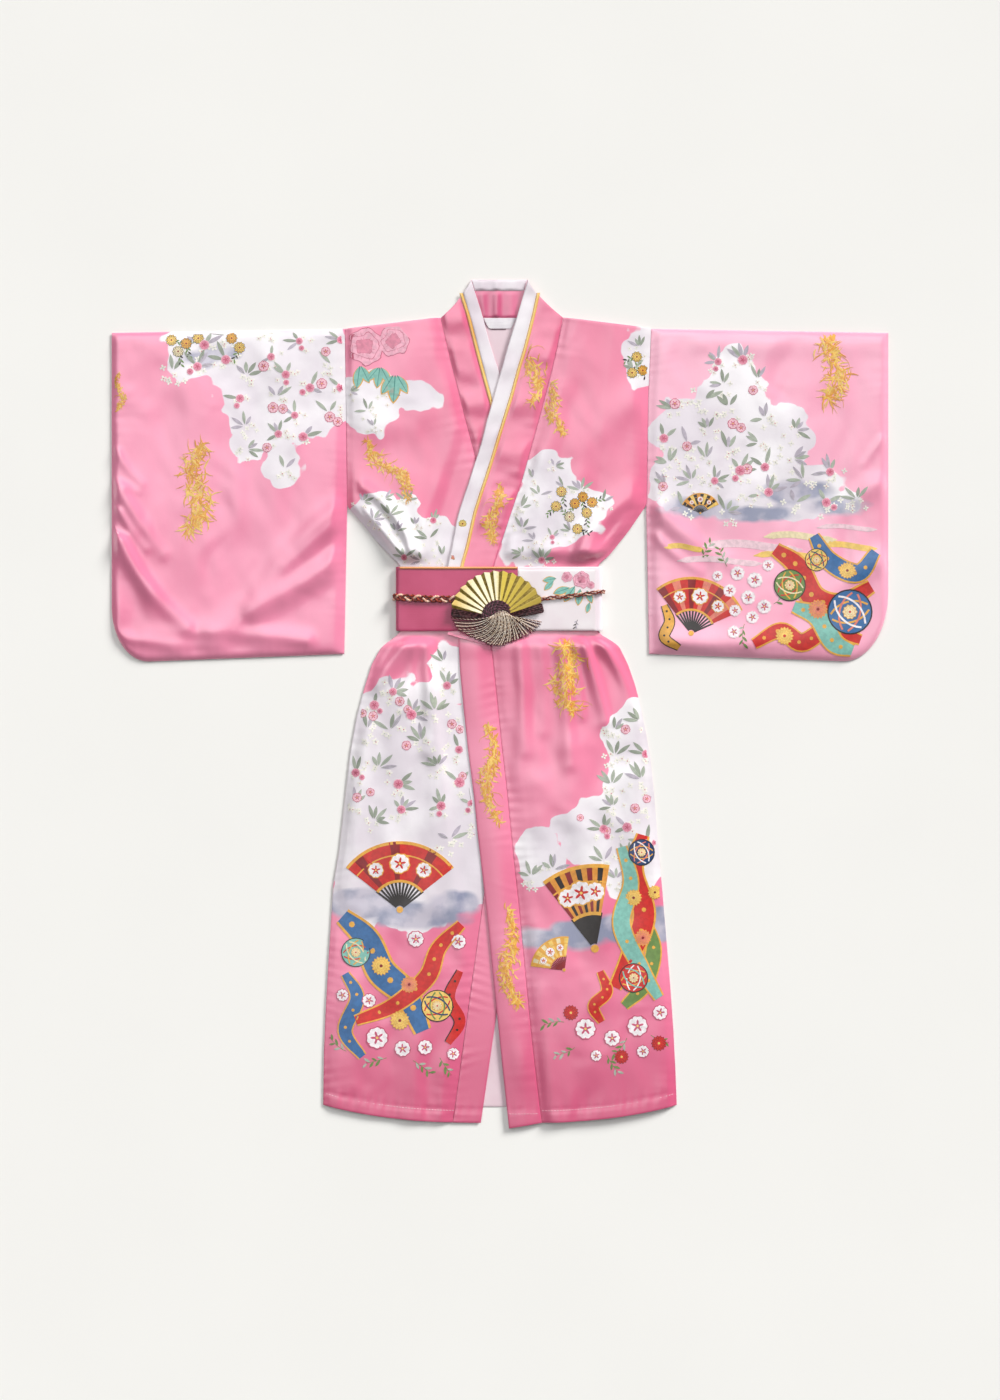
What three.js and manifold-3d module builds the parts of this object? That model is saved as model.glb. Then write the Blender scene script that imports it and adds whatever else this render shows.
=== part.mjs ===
// A satin kimono robe laid flat, front side up, with its belt, braided cord and fan ornament.
// Millimetres, +Z up. The robe lies on the plane z = 0, the collar towards +Y and the hem towards -Y.
// "right" and "left" are the wearer's: the right side of the robe lies at negative x.
import * as THREE from 'three';
import { mergeVertices } from 'three/addons/utils/BufferGeometryUtils.js';
import Module from 'manifold-3d';

const wasm = await Module();
wasm.setup();

// Driving dimensions
const CLOTH = 1.2;              // wall of the satin
const TRIM = 1.0;               // wall of the collar bands, piping and label
const GAP = 0.3;                // between pieces that meet
const OVERLAP_LIFT = 3.0;       // the left front rides this much higher where it lies on the right one
const PUFF = 3.0;               // how far the front cloth stands up from the back between its seams
const SEAM_RAMP = 24;           // width over which it rises from a seam

const BELT = { left: -156, right: 153, bottom: 109.5, top: 205.5, wall: 2.0, clear: 9.6 };
const BELT_LIFT = BELT.wall + GAP;                    // the robe's back lies on the belt's back
const BELT_RAMP = { outer: 44, inner: 3.5 };          // the robe climbs onto it over this stretch
const BELT_TOP_Z = BELT.clear + BELT.wall;
const PRINT_PANEL = { left: 27, right: 143, inset: 1.0 };
const OBI_PIPING = { width: 3.5, height: 1.6, left: -150, right: 26 };

const SLEEVE = { outerX: 582, topInner: 562.5, topOuter: 556.5, bottomInner: 75, bottomOuter: 61.5 };
const SLEEVE_CORNER = {
  right: { across: 57, up: 82 },
  left: { across: 69, up: 104 },
};

const SHOULDER_Y = 562.5;       // height of the shoulder at the armhole
const NECK_RISE = 16.5;         // the shoulder climbs by this much to the collar
const HEM_SIDE_Y = -601;        // height of the hem at the side seams
const FRONT_HEM_DROP = 27;      // the front hem hangs this much lower towards the middle
const FRONT_TIP_DROP = 35;      // and this much at the left front's free edge
const BACK_HEM_DROP = 3;
const COLLAR_TOP = 636;
const CROSS_Y = 156;            // under the belt, where the collar ends and the overlap strip begins

const FAN = {
  x: -4.8, y: 132.4, z: 18.5, hub: 23.5, radius: 67, from: 18, to: 166.5, pleats: 15,
  pleatHeight: 2.6, wall: 1.0,
};
const GUARD = { innerHalf: 3.2, outerHalf: 7, reach: 70, round: 4, wall: 2.4, rightAngle: 175.5, leftAngle: 9 };
const CORD = { width: 11, height: 5, sides: 8 };
const TASSEL = {
  strands: 56, from: 186, to: 350, rootX: 3.4, rootY: 139, headRadius: 8, headHeight: 3.2, rootRadius: 5,
  sideReach: 69, downReach: 45, leftSwirl: 38, rightSwirl: -8, rootZ: 27.0, tipZ: 14.2, tipWidth: 2.2,
};

// Edges of the pieces, as x at a height y

const edge = (...rows) => (y) => {
  if (y >= rows[0][0]) return rows[0][1];
  for (let i = 1; i < rows.length; i += 1) {
    const [yHigh, xHigh] = rows[i - 1];
    const [yLow, xLow] = rows[i];
    if (y >= yLow) return xLow + ((xHigh - xLow) * (y - yLow)) / (yHigh - yLow);
  }
  return rows[rows.length - 1][1];
};

const rightSide = edge(
  [562.5, -232.5], [456, -231], [296, -229], [273, -208], [242, -183], [220, -162], [209, -150],
  [106, -150], [98, -161], [85, -178], [60, -192], [25, -203], [-21, -215], [-71, -224],
  [-150, -233], [-220, -241], [-273, -250], [-384, -257], [-453, -261], [-524, -264], [-602, -265],
);
const leftSide = edge(
  [562.5, 226.5], [456, 222], [299, 220], [258, 192], [222, 163], [209, 147],
  [106, 147], [98, 162], [87, 178], [59, 192], [27, 203], [-5, 211], [-39, 218], [-78, 225],
  [-122, 230], [-209, 237], [-276, 243], [-348, 249], [-419, 255], [-490, 260], [-549, 263], [-602, 265],
);
const rightSeam = edge(
  [579, -89], [522, -76], [479, -65], [427, -52], [374, -38], [206, 8], [156, 20], [109, 30], [-636, -72],
);
const leftSeam = edge(
  [579, 94.5], [533, 85.5], [493, 76], [427, 58.5], [338, 34], [268, 10.5], [206, -10], [156, -16],
  [87, -13], [22, -6], [-58, 2], [-127, 10], [-228, 20], [-299, 28], [-405, 38], [-505, 48], [-591, 58],
  [-636, 64],
);
const rightFrontEdge = edge([156, 82], [109, 78], [-636, -30]);
const leftFrontEdge = edge(
  [156, -66], [95, -62], [50, -60], [-12, -54], [-81, -46.5], [-138, -39], [-195, -33.5], [-260, -26],
  [-329, -18], [-412, -10], [-468, -4], [-537, 3], [-636, 13.5],
);
const rightCollarInner = edge(
  [636, -43.5], [585, -27], [543, -16], [507, -4.5], [493, 0.5], [384, 31], [283, 62], [206, 78], [156, 84],
);
const rightCollarPiping = edge(
  [616, -56], [582, -45], [542, -35], [502, -24.5], [457, -12], [412, 1], [358, 17], [286, 40], [206, 56],
  [156, 64],
);
const leftCollarInner = edge(
  [636, 41.5], [616, 36], [586, 27], [543, 14], [496, 0.5], [427, -19], [384, -30], [283, -63], [229, -74],
  [206, -78], [156, -84],
);
const leftCollarPiping = edge(
  [616, 55], [579, 47], [536, 36], [496, 24], [464, 15.5], [427, 4], [358, -17], [286, -40.5], [237, -51],
  [206, -60], [156, -66],
);

// Folds: ridges along a bent line from a to c past b

const BODY_FOLDS = [
  { ax: -141, ay: 214, bx: -160, by: 240, cx: -196, cy: 282, width: 12, height: 6 },
  { ax: -128, ay: 214, bx: -148, by: 290, cx: -206, cy: 325, width: 12, height: 6 },
  { ax: -98, ay: 214, bx: -112, by: 270, cx: -142, cy: 335, width: 16, height: 3.5 },
  { ax: 126, ay: 214, bx: 150, by: 298, cx: 214, cy: 314, width: 13, height: 7 },
  { ax: 140, ay: 214, bx: 168, by: 236, cx: 208, cy: 286, width: 10, height: 4.5 },
  { ax: 88, ay: 214, bx: 96, by: 270, cx: 118, cy: 340, width: 17, height: 3.5 },
  { ax: -134, ay: 100, bx: -150, by: 72, cx: -186, cy: 34, width: 11, height: 7 },
  { ax: -108, ay: 100, bx: -104, by: 20, cx: -108, cy: -70, width: 14, height: 5 },
  { ax: -150, ay: 10, bx: -160, by: -120, cx: -172, cy: -330, width: 27, height: 4 },
  { ax: -92, ay: 20, bx: -86, by: -110, cx: -104, cy: -300, width: 20, height: 3.5 },
  { ax: 122, ay: 100, bx: 138, by: 60, cx: 160, cy: -26, width: 12, height: 6.5 },
  { ax: 142, ay: 100, bx: 176, by: 74, cx: 204, cy: 2, width: 11, height: 5 },
  { ax: 92, ay: 100, bx: 100, by: 20, cx: 104, cy: -90, width: 16, height: 4 },
  { ax: 112, ay: -70, bx: 124, by: -220, cx: 152, cy: -440, width: 28, height: 4 },
  { ax: 200, ay: -110, bx: 204, by: -250, cx: 218, cy: -420, width: 20, height: 3 },
];
const RIGHT_SLEEVE_FOLDS = [
  { ax: -240, ay: 290, bx: -300, by: 250, cx: -372, cy: 150, width: 21, height: 7 },
  { ax: -250, ay: 175, bx: -330, by: 118, cx: -440, cy: 92, width: 22, height: 5 },
  { ax: -566, ay: 236, bx: -540, by: 168, cx: -468, cy: 112, width: 19, height: 6 },
  { ax: -566, ay: 318, bx: -545, by: 276, cx: -505, cy: 226, width: 15, height: 4 },
];
const LEFT_SLEEVE_FOLDS = [
  { ax: 240, ay: 290, bx: 282, by: 240, cx: 338, cy: 216, width: 17, height: 5 },
  { ax: 566, ay: 330, bx: 540, by: 318, cx: 505, cy: 284, width: 15, height: 4 },
  { ax: 566, ay: 214, bx: 532, by: 200, cx: 492, cy: 160, width: 16, height: 4 },
  { ax: 262, ay: 96, bx: 400, by: 84, cx: 512, cy: 112, width: 19, height: 4 },
  { ax: 300, ay: 540, bx: 430, by: 532, cx: 560, cy: 538, width: 15, height: 3 },
];
const FOLD_STEPS = 8;

const clamp01 = (t) => Math.min(1, Math.max(0, t));
const ramp = (t) => clamp01(t) * clamp01(t) * (3 - 2 * clamp01(t));
const lerp = (a, b, t) => a + (b - a) * t;

function foldHeight(fold, x, y) {
  let nearest = Infinity;
  let along = 0;
  for (let i = 0; i <= FOLD_STEPS; i += 1) {
    const t = i / FOLD_STEPS;
    const px = (1 - t) ** 2 * fold.ax + 2 * t * (1 - t) * fold.bx + t * t * fold.cx;
    const py = (1 - t) ** 2 * fold.ay + 2 * t * (1 - t) * fold.by + t * t * fold.cy;
    const distance = Math.hypot(x - px, y - py);
    if (distance < nearest) {
      nearest = distance;
      along = t;
    }
  }
  const fade = 1 - 0.55 * ramp(along);
  return fold.height * fade * Math.exp(-((nearest / fold.width) ** 2));
}

const foldsHeight = (folds, x, y) => folds.reduce((sum, fold) => sum + foldHeight(fold, x, y), 0);

// The robe's back climbs onto the belt's back in straight ramps
function beltLift(y) {
  const lower = (y - (BELT.bottom - BELT_RAMP.outer)) / (BELT_RAMP.outer - BELT_RAMP.inner);
  const upper = (BELT.top + BELT_RAMP.outer - y) / (BELT_RAMP.outer - BELT_RAMP.inner);
  return BELT_LIFT * clamp01(Math.min(lower, upper));
}

const beltPress = (y) => ramp(Math.max(BELT.bottom - BELT_RAMP.inner - y, y - BELT.top - BELT_RAMP.inner) / 22);

// The puff and folds of a front panel, none at its seams and under the belt
function frontHeight(x, y, sideDistance, innerDistance) {
  const free = beltPress(y) * ramp(sideDistance / SEAM_RAMP) * ramp(innerDistance / SEAM_RAMP);
  return free * (PUFF + foldsHeight(BODY_FOLDS, x, y));
}

// Solids

function solid(name, positions, faces, look) {
  let geometry = new THREE.BufferGeometry();
  geometry.setAttribute('position', new THREE.Float32BufferAttribute(positions, 3));
  geometry.setIndex(faces);
  geometry = mergeVertices(geometry, 1e-5);
  geometry.computeVertexNormals();
  const mesh = new THREE.Mesh(geometry, look);
  mesh.name = name;
  return mesh;
}

// A sheet of even wall over a grid. underside(u, j) gives [x, y, z]; u runs with +x and rows with +y.
function sheet(name, columns, rowCount, underside, wall, look) {
  const positions = [];
  const faces = [];
  const across = columns.length;
  for (const layer of [0, 1]) {
    for (let j = 0; j < rowCount; j += 1) {
      for (const u of columns) {
        const [x, y, z] = underside(u, j);
        positions.push(x, y, z + layer * wall);
      }
    }
  }
  const at = (layer, i, j) => (layer * rowCount + j) * across + i;
  const quad = (a, b, c, d) => faces.push(a, b, c, a, c, d);
  for (let j = 0; j + 1 < rowCount; j += 1) {
    for (let i = 0; i + 1 < across; i += 1) {
      quad(at(1, i, j), at(1, i + 1, j), at(1, i + 1, j + 1), at(1, i, j + 1));
      faces.push(at(0, i, j), at(0, i + 1, j + 1), at(0, i + 1, j));
      faces.push(at(0, i, j), at(0, i, j + 1), at(0, i + 1, j + 1));
    }
  }
  const last = across - 1;
  const end = rowCount - 1;
  for (let i = 0; i < last; i += 1) {
    quad(at(0, i, 0), at(0, i + 1, 0), at(1, i + 1, 0), at(1, i, 0));
    quad(at(0, i + 1, end), at(0, i, end), at(1, i, end), at(1, i + 1, end));
  }
  for (let j = 0; j < end; j += 1) {
    quad(at(0, 0, j + 1), at(0, 0, j), at(1, 0, j), at(1, 0, j + 1));
    quad(at(0, last, j), at(0, last, j + 1), at(1, last, j + 1), at(1, last, j));
  }
  return solid(name, positions, faces, look);
}

// A solid through rings of equal length, each anticlockwise when seen from the far end
function ringFaces(ringCount, size) {
  const faces = [];
  for (let r = 0; r + 1 < ringCount; r += 1) {
    for (let i = 0; i < size; i += 1) {
      const a = r * size + i;
      const b = r * size + ((i + 1) % size);
      faces.push(a, b, b + size, a, b + size, a + size);
    }
  }
  for (let i = 1; i + 1 < size; i += 1) {
    const top = (ringCount - 1) * size;
    faces.push(0, i + 1, i, top, top + i, top + i + 1);
  }
  return faces;
}

const looks = {
  satin: new THREE.MeshStandardMaterial({ color: 0xf08fb0, roughness: 0.38 }),
  satinBack: new THREE.MeshStandardMaterial({ color: 0xf0d6df, roughness: 0.6 }),
  collarWhite: new THREE.MeshStandardMaterial({ color: 0xf2e8ee, roughness: 0.4 }),
  piping: new THREE.MeshStandardMaterial({ color: 0xf3cd6a, roughness: 0.5 }),
  belt: new THREE.MeshStandardMaterial({ color: 0xcb6a92, roughness: 0.55 }),
  beltPrint: new THREE.MeshStandardMaterial({ color: 0xf2e6ee, roughness: 0.45 }),
  cord: new THREE.MeshStandardMaterial({ color: 0x9c3a1e, roughness: 0.5 }),
  gold: new THREE.MeshStandardMaterial({ color: 0xd8bd4e, roughness: 0.3, metalness: 0.8 }),
  lacquer: new THREE.MeshStandardMaterial({ color: 0x3a1618, roughness: 0.4 }),
  tassel: new THREE.MeshStandardMaterial({ color: 0x8a7458, roughness: 0.5 }),
};

// Rows of the body, from the hem up. Every panel shares them, so that layers keep their distance.

const evenly = (from, to, steps) => Array.from({ length: steps }, (_, i) => lerp(from, to, i / steps));
const rampLow = BELT.bottom - BELT_RAMP.outer;
const pressLow = BELT.bottom - BELT_RAMP.inner;
const pressHigh = BELT.top + BELT_RAMP.inner;
const rampHigh = BELT.top + BELT_RAMP.outer;
const BODY_ROWS = [
  ...evenly(HEM_SIDE_Y, rampLow, 19), ...evenly(rampLow, pressLow, 2), pressLow, CROSS_Y, pressHigh,
  lerp(pressHigh, rampHigh, 0.5), ...evenly(rampHigh, SHOULDER_Y, 11), SHOULDER_Y,
];
const BEND_FROM = 130;          // the end rows bend to the hem and the shoulder over this stretch

const towardsTop = (y) => clamp01((y - (SHOULDER_Y - BEND_FROM)) / BEND_FROM);
const towardsHem = (y) => clamp01((HEM_SIDE_Y + BEND_FROM - y) / BEND_FROM);
const shoulderRise = (x) => NECK_RISE * clamp01((232 - Math.abs(x)) / 140);
const hemShape = (x) => 1 - Math.min(1, Math.abs(x) / 265) ** 2.6;

// A panel between two side edges, over rows of the body
function bodyPanel({ name, low, high, columns, rows, drop, rise, height, base, look }) {
  const underside = (u, j) => {
    const rowY = rows[j];
    const rough = lerp(low(rowY), high(rowY), u);
    const lift = rise ? rise(u) : shoulderRise(rough);
    const y = rowY + towardsTop(rowY) * lift - towardsHem(rowY) * drop(u) * hemShape(rough);
    const x = lerp(low(y), high(y), u);
    return [x, y, beltLift(rowY) + base(u) + (height ? height(x, y) : 0)];
  };
  return sheet(name, columns, rows.length, underside, CLOTH, look);
}

const shares = (count) => Array.from({ length: count + 1 }, (_, i) => i / count);
const FRONT_BASE = CLOTH + GAP;
const overlapped = () => FRONT_BASE + OVERLAP_LIFT;
const offset = (line, by) => (y) => line(y) + by;

const FRONT_COLUMNS = 12;
const OVERLAP_END = { from: 7 / FRONT_COLUMNS, to: 11 / FRONT_COLUMNS };

const upperRows = BODY_ROWS.filter((y) => y >= CROSS_Y);
const lowerRows = BODY_ROWS.filter((y) => y < CROSS_Y).concat(CROSS_Y - GAP);

function backPanel() {
  return bodyPanel({
    name: 'back', low: rightSide, high: leftSide, columns: shares(10), rows: BODY_ROWS,
    drop: () => BACK_HEM_DROP, base: () => 0, look: looks.satinBack,
  });
}

function rightFront() {
  const hiddenFrom = (y) => Math.min(leftFrontEdge(y), y > CROSS_Y ? leftCollarInner(y) : Infinity) - 25;
  return bodyPanel({
    name: 'front_right', low: rightSide, high: offset(rightSeam, -GAP / 2),
    columns: shares(FRONT_COLUMNS), rows: BODY_ROWS, drop: () => FRONT_HEM_DROP, base: () => FRONT_BASE,
    height: (x, y) => {
      const inner = Math.min(rightSeam(y), hiddenFrom(y)) - x;
      return frontHeight(x, y, x - rightSide(y), inner);
    },
    look: looks.satin,
  });
}

function leftFront() {
  return bodyPanel({
    name: 'front_left', low: offset(leftSeam, GAP / 2), high: leftSide,
    columns: shares(FRONT_COLUMNS), rows: BODY_ROWS, drop: () => FRONT_HEM_DROP,
    base: (u) => {
      const past = clamp01((u - OVERLAP_END.from) / (OVERLAP_END.to - OVERLAP_END.from));
      return FRONT_BASE + OVERLAP_LIFT * (1 - past);
    },
    height: (x, y) => frontHeight(x, y, leftSide(y) - x, x - leftSeam(y)),
    look: looks.satin,
  });
}

// The overlap strips, from the cross-over under the belt to the hem
function overlapStrip(name, low, high, drop, base) {
  return bodyPanel({
    name, low, high, columns: shares(2), rows: lowerRows, drop, base, look: looks.satin,
  });
}

// The collar: a pink band, a white band on its inner part and a yellow piping beside that

const COLLAR_RISE = { inner: COLLAR_TOP - SHOULDER_Y, piping: 53.5, seam: NECK_RISE };
const PIPING_WIDTH = 5.0;

const collarSides = {
  right: { inner: rightCollarInner, piping: rightCollarPiping, seam: rightSeam, way: -1, base: () => FRONT_BASE },
  left: { inner: leftCollarInner, piping: leftCollarPiping, seam: leftSeam, way: 1, base: overlapped },
};

// A strip of the collar between two shares: 0 at the inner edge, 1 at the piping line, 2 at the seam
function collarStrip({ name, side, from, to, steps, raise, wall, shiftFrom, shiftTo, look }) {
  const { inner, piping, seam, way, base } = collarSides[side];
  const place = (share, y) => (share <= 1
    ? lerp(inner(y), piping(y), share)
    : lerp(piping(y), seam(y), share - 1));
  const riseAt = (share) => (share <= 1
    ? lerp(COLLAR_RISE.inner, COLLAR_RISE.piping, share)
    : lerp(COLLAR_RISE.piping, COLLAR_RISE.seam, share - 1));
  const order = way > 0 ? shares(steps) : shares(steps).map((t) => 1 - t).reverse();
  const columns = way > 0 ? order : shares(steps);
  const underside = (u, j) => {
    const t = way > 0 ? u : 1 - u;
    const share = lerp(from, to, t);
    const rowY = upperRows[j];
    const y = rowY + towardsTop(rowY) * riseAt(share);
    const shift = way * lerp(shiftFrom, shiftTo, t);
    return [place(share, y) + shift, y, beltLift(rowY) + base() + raise];
  };
  return sheet(name, columns, upperRows.length, underside, wall, look);
}

function collarOf(side) {
  const onBand = CLOTH + GAP;
  return [
    collarStrip({
      name: `collar_${side}`, side, from: 0, to: 2, steps: 4, raise: 0, wall: CLOTH,
      shiftFrom: 0, shiftTo: -GAP / 2, look: looks.satin,
    }),
    collarStrip({
      name: `inner_collar_${side}`, side, from: 0, to: 1, steps: 2, raise: onBand, wall: TRIM,
      shiftFrom: 0, shiftTo: -GAP / 2, look: looks.collarWhite,
    }),
    collarStrip({
      name: `collar_piping_${side}`, side, from: 1, to: 1, steps: 1, raise: onBand, wall: TRIM,
      shiftFrom: GAP / 2, shiftTo: PIPING_WIDTH, look: looks.piping,
    }),
  ];
}

// The collar round the back of the neck, whose inner face shows, and the white band along its top
const NECK = { whiteFrom: 620, under: 12, clear: 0.5 };

// A sheet between the two collars' inner edges, reaching under them or ending short of them
function neckPiece({ name, bottom, reach, z, wall, look }) {
  const underside = (u, j) => {
    const y = lerp(bottom, COLLAR_TOP, j / 2);
    return [lerp(rightCollarInner(y) - reach, leftCollarInner(y) + reach, u), y, z];
  };
  return sheet(name, shares(4), 3, underside, wall, look);
}

function collarBack() {
  return [
    neckPiece({
      name: 'collar_back', bottom: SHOULDER_Y + NECK_RISE + GAP, reach: NECK.under, z: 0, wall: CLOTH,
      look: looks.satin,
    }),
    neckPiece({
      name: 'inner_collar_back', bottom: NECK.whiteFrom, reach: -NECK.clear, z: FRONT_BASE, wall: TRIM,
      look: looks.collarWhite,
    }),
  ];
}

const LABEL = { left: -24.5, right: 24.5, top: 578.5, bottom: 563, cut: 8 };

function neckLabel() {
  const underside = (u, j) => {
    const narrow = LABEL.cut * (1 - j);
    return [
      lerp(LABEL.left + narrow, LABEL.right - narrow, u), lerp(LABEL.bottom, LABEL.top, j), FRONT_BASE,
    ];
  };
  return sheet('neck_label', shares(1), 2, underside, TRIM, looks.collarWhite);
}

// Sleeves: flat tubes, folded along the top and sewn along the bottom

const SLEEVE_RINGS = [0, 0.04, 0.1, 0.17, 0.25, 0.34, 0.43, 0.52, 0.61, 0.7, 0.78, 0.85, 0.91, 0.96, 1];
const SLEEVE_ROWS = [0, 0.03, 0.08, 0.14, 0.21, 0.29, 0.38, 0.48, 0.58, 0.68, 0.79, 0.9, 0.96, 1];
const SLEEVE_BACK_ROWS = [1, 0.75, 0.5, 0.25, 0];

function sleeve(side) {
  const way = side === 'right' ? -1 : 1;
  const bodyEdge = side === 'right' ? rightSide : leftSide;
  const folds = side === 'right' ? RIGHT_SLEEVE_FOLDS : LEFT_SLEEVE_FOLDS;
  const corner = SLEEVE_CORNER[side];
  const armholeY = 298;
  const innerX = (y) => bodyEdge(Math.max(y, armholeY)) + way * (GAP + (y < armholeY ? (armholeY - y) * 0.02 : 0));
  const topY = (s) => lerp(SLEEVE.topInner, SLEEVE.topOuter, s);
  const bottomY = (s) => {
    const reach = SLEEVE.outerX - way * innerX(armholeY);
    const beyond = clamp01((s * reach - (reach - corner.across)) / corner.across);
    return lerp(SLEEVE.bottomInner, SLEEVE.bottomOuter, s) + corner.up * (1 - Math.sqrt(1 - beyond * beyond));
  };
  const point = (s, t, inset) => {
    const y = lerp(bottomY(s) + inset, topY(s) - inset, t);
    const x = lerp(innerX(y), way * SLEEVE.outerX, s);
    return [x, y];
  };
  const height = (s, t) => {
    const [x, y] = point(s, t, 0);
    const fromInner = Math.abs(x - innerX(y));
    const fromOuter = SLEEVE.outerX - Math.abs(x);
    const fromEnds = Math.min(topY(s) - y, y - bottomY(s));
    const free = ramp(fromInner / SEAM_RAMP) * ramp(fromOuter / 14) * ramp(fromEnds / SEAM_RAMP);
    return free * (PUFF + foldsHeight(folds, x, y));
  };
  const ring = (s, layer) => {
    const inset = layer * (CLOTH + GAP);
    const front = SLEEVE_ROWS.map((t) => {
      const z = FRONT_BASE + height(s, t) + (layer ? 0 : CLOTH);
      return [...point(s, t, inset), z];
    });
    const back = SLEEVE_BACK_ROWS.map((t) => [...point(s, t, inset), layer ? CLOTH : 0]);
    return [...front, ...back];
  };
  const size = SLEEVE_ROWS.length + SLEEVE_BACK_ROWS.length;
  const count = SLEEVE_RINGS.length;
  const positions = [];
  for (const layer of [0, 1]) {
    for (const s of SLEEVE_RINGS) {
      for (const p of ring(s, layer)) positions.push(...p);
    }
  }
  const at = (layer, r, i) => (layer * count + r) * size + (i % size);
  const faces = [];
  const quad = (a, b, c, d) => (way < 0 ? faces.push(a, b, c, a, c, d) : faces.push(c, b, a, d, c, a));
  for (let i = 0; i < size; i += 1) {
    for (let r = 0; r + 1 < count; r += 1) {
      quad(at(0, r, i), at(0, r, i + 1), at(0, r + 1, i + 1), at(0, r + 1, i));
      quad(at(1, r, i + 1), at(1, r, i), at(1, r + 1, i), at(1, r + 1, i + 1));
    }
    quad(at(0, 0, i + 1), at(0, 0, i), at(1, 0, i), at(1, 0, i + 1));
    quad(at(0, count - 1, i), at(0, count - 1, i + 1), at(1, count - 1, i + 1), at(1, count - 1, i));
  }
  return solid(`sleeve_${side}`, positions, faces, looks.satin);
}

// The belt: a stiff band all round the waist, with a printed panel and a piping

function loopShape(left, right, bottom, top) {
  const r = (top - bottom) / 2;
  const shape = new THREE.Shape();
  shape.moveTo(left + r, bottom);
  shape.lineTo(right - r, bottom);
  shape.absarc(right - r, bottom + r, r, -Math.PI / 2, Math.PI / 2, false);
  shape.lineTo(left + r, top);
  shape.absarc(left + r, bottom + r, r, Math.PI / 2, (Math.PI * 3) / 2, false);
  return shape;
}

function beltBand() {
  const { left, right, bottom, top, wall } = BELT;
  const shape = loopShape(left, right, 0, BELT_TOP_Z);
  shape.holes.push(loopShape(left + wall, right - wall, wall, BELT.clear));
  const geometry = new THREE.ExtrudeGeometry(shape, { depth: top - bottom, bevelEnabled: false, curveSegments: 5 });
  geometry.rotateX(Math.PI / 2);
  geometry.translate(0, top, 0);
  const mesh = new THREE.Mesh(geometry, looks.belt);
  mesh.name = 'obi_band';
  return mesh;
}

function block(name, x0, x1, y0, y1, z0, z1, look) {
  const geometry = new THREE.BoxGeometry(x1 - x0, y1 - y0, z1 - z0);
  geometry.translate((x0 + x1) / 2, (y0 + y1) / 2, (z0 + z1) / 2);
  const mesh = new THREE.Mesh(geometry, look);
  mesh.name = name;
  return mesh;
}

const printPanelTop = BELT_TOP_Z + GAP + TRIM;

function beltPanel() {
  const { left, right, inset } = PRINT_PANEL;
  return block(
    'obi_print_panel', left, right, BELT.bottom + inset, BELT.top - inset - OBI_PIPING.width,
    BELT_TOP_Z + GAP, printPanelTop, looks.beltPrint,
  );
}

function beltPiping() {
  const { width, height, left, right } = OBI_PIPING;
  return block(
    'obi_piping', left, right, BELT.top - width, BELT.top, BELT_TOP_Z + GAP, BELT_TOP_Z + GAP + height,
    looks.piping,
  );
}

// A corner of the left front pulled out below the belt
function waistTuck() {
  const corners = { left: [-77, -72], right: [-40, -30], bottom: [104, 93.5], top: [119, 119] };
  const underside = (u, j) => {
    const x = lerp(corners.left[j], corners.right[j], u);
    const y = j ? lerp(corners.top[0], corners.top[1], u) : lerp(corners.bottom[0], corners.bottom[1], u);
    return [x, y, BELT_LIFT + overlapped() + CLOTH + GAP];
  };
  return sheet('waist_tuck', shares(2), 2, underside, TRIM, looks.satin);
}

// The braided cord, round the belt's front and tucked in at its sides

function braidCord() {
  const onBelt = BELT_TOP_Z + GAP + CORD.height / 2;
  const onPanel = printPanelTop + GAP + CORD.height / 2;
  const bend = BELT_TOP_Z / 2;
  const side = bend + 2 * GAP + CORD.height / 2;
  const round = (x, y, top, degrees) => {
    const a = (degrees * Math.PI) / 180;
    return new THREE.Vector3(x + side * Math.cos(a), y, bend + (top - bend) * Math.sin(a));
  };
  const path = new THREE.CatmullRomCurve3([
    ...[180, 155, 130, 105].map((degrees) => round(BELT.left + bend, 160, onBelt + GAP, degrees)),
    new THREE.Vector3(-135, 159, onBelt + 0.2),
    new THREE.Vector3(-110, 157.5, onBelt),
    new THREE.Vector3(-70, 157, onBelt),
    new THREE.Vector3(-20, 157, onBelt + 0.3),
    new THREE.Vector3(14, 157, onPanel),
    new THREE.Vector3(60, 157.5, onPanel),
    new THREE.Vector3(100, 161, onPanel),
    new THREE.Vector3(132, 165, onPanel + 0.1),
    ...[80, 55, 30, 0].map((degrees) => round(BELT.right - bend, 168, onPanel + 2 * GAP, degrees)),
  ], false, 'centripetal');
  const steps = 56;
  const positions = [];
  for (let i = 0; i <= steps; i += 1) {
    const p = path.getPointAt(i / steps);
    const tangent = path.getTangentAt(i / steps);
    const flat = new THREE.Vector3(tangent.x, 0, tangent.z).normalize();
    const out = new THREE.Vector3(-flat.z, 0, flat.x);
    for (let k = 0; k < CORD.sides; k += 1) {
      const a = (2 * Math.PI * k) / CORD.sides;
      positions.push(
        p.x + out.x * Math.sin(a) * (CORD.height / 2),
        p.y + Math.cos(a) * (CORD.width / 2),
        p.z + out.z * Math.sin(a) * (CORD.height / 2),
      );
    }
  }
  return solid('braid_cord', positions, ringFaces(steps + 1, CORD.sides), looks.cord);
}

// The fan: a pleated gold leaf between two guards, a hub, and a swirled tassel

const radians = (degrees) => (degrees * Math.PI) / 180;

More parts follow.
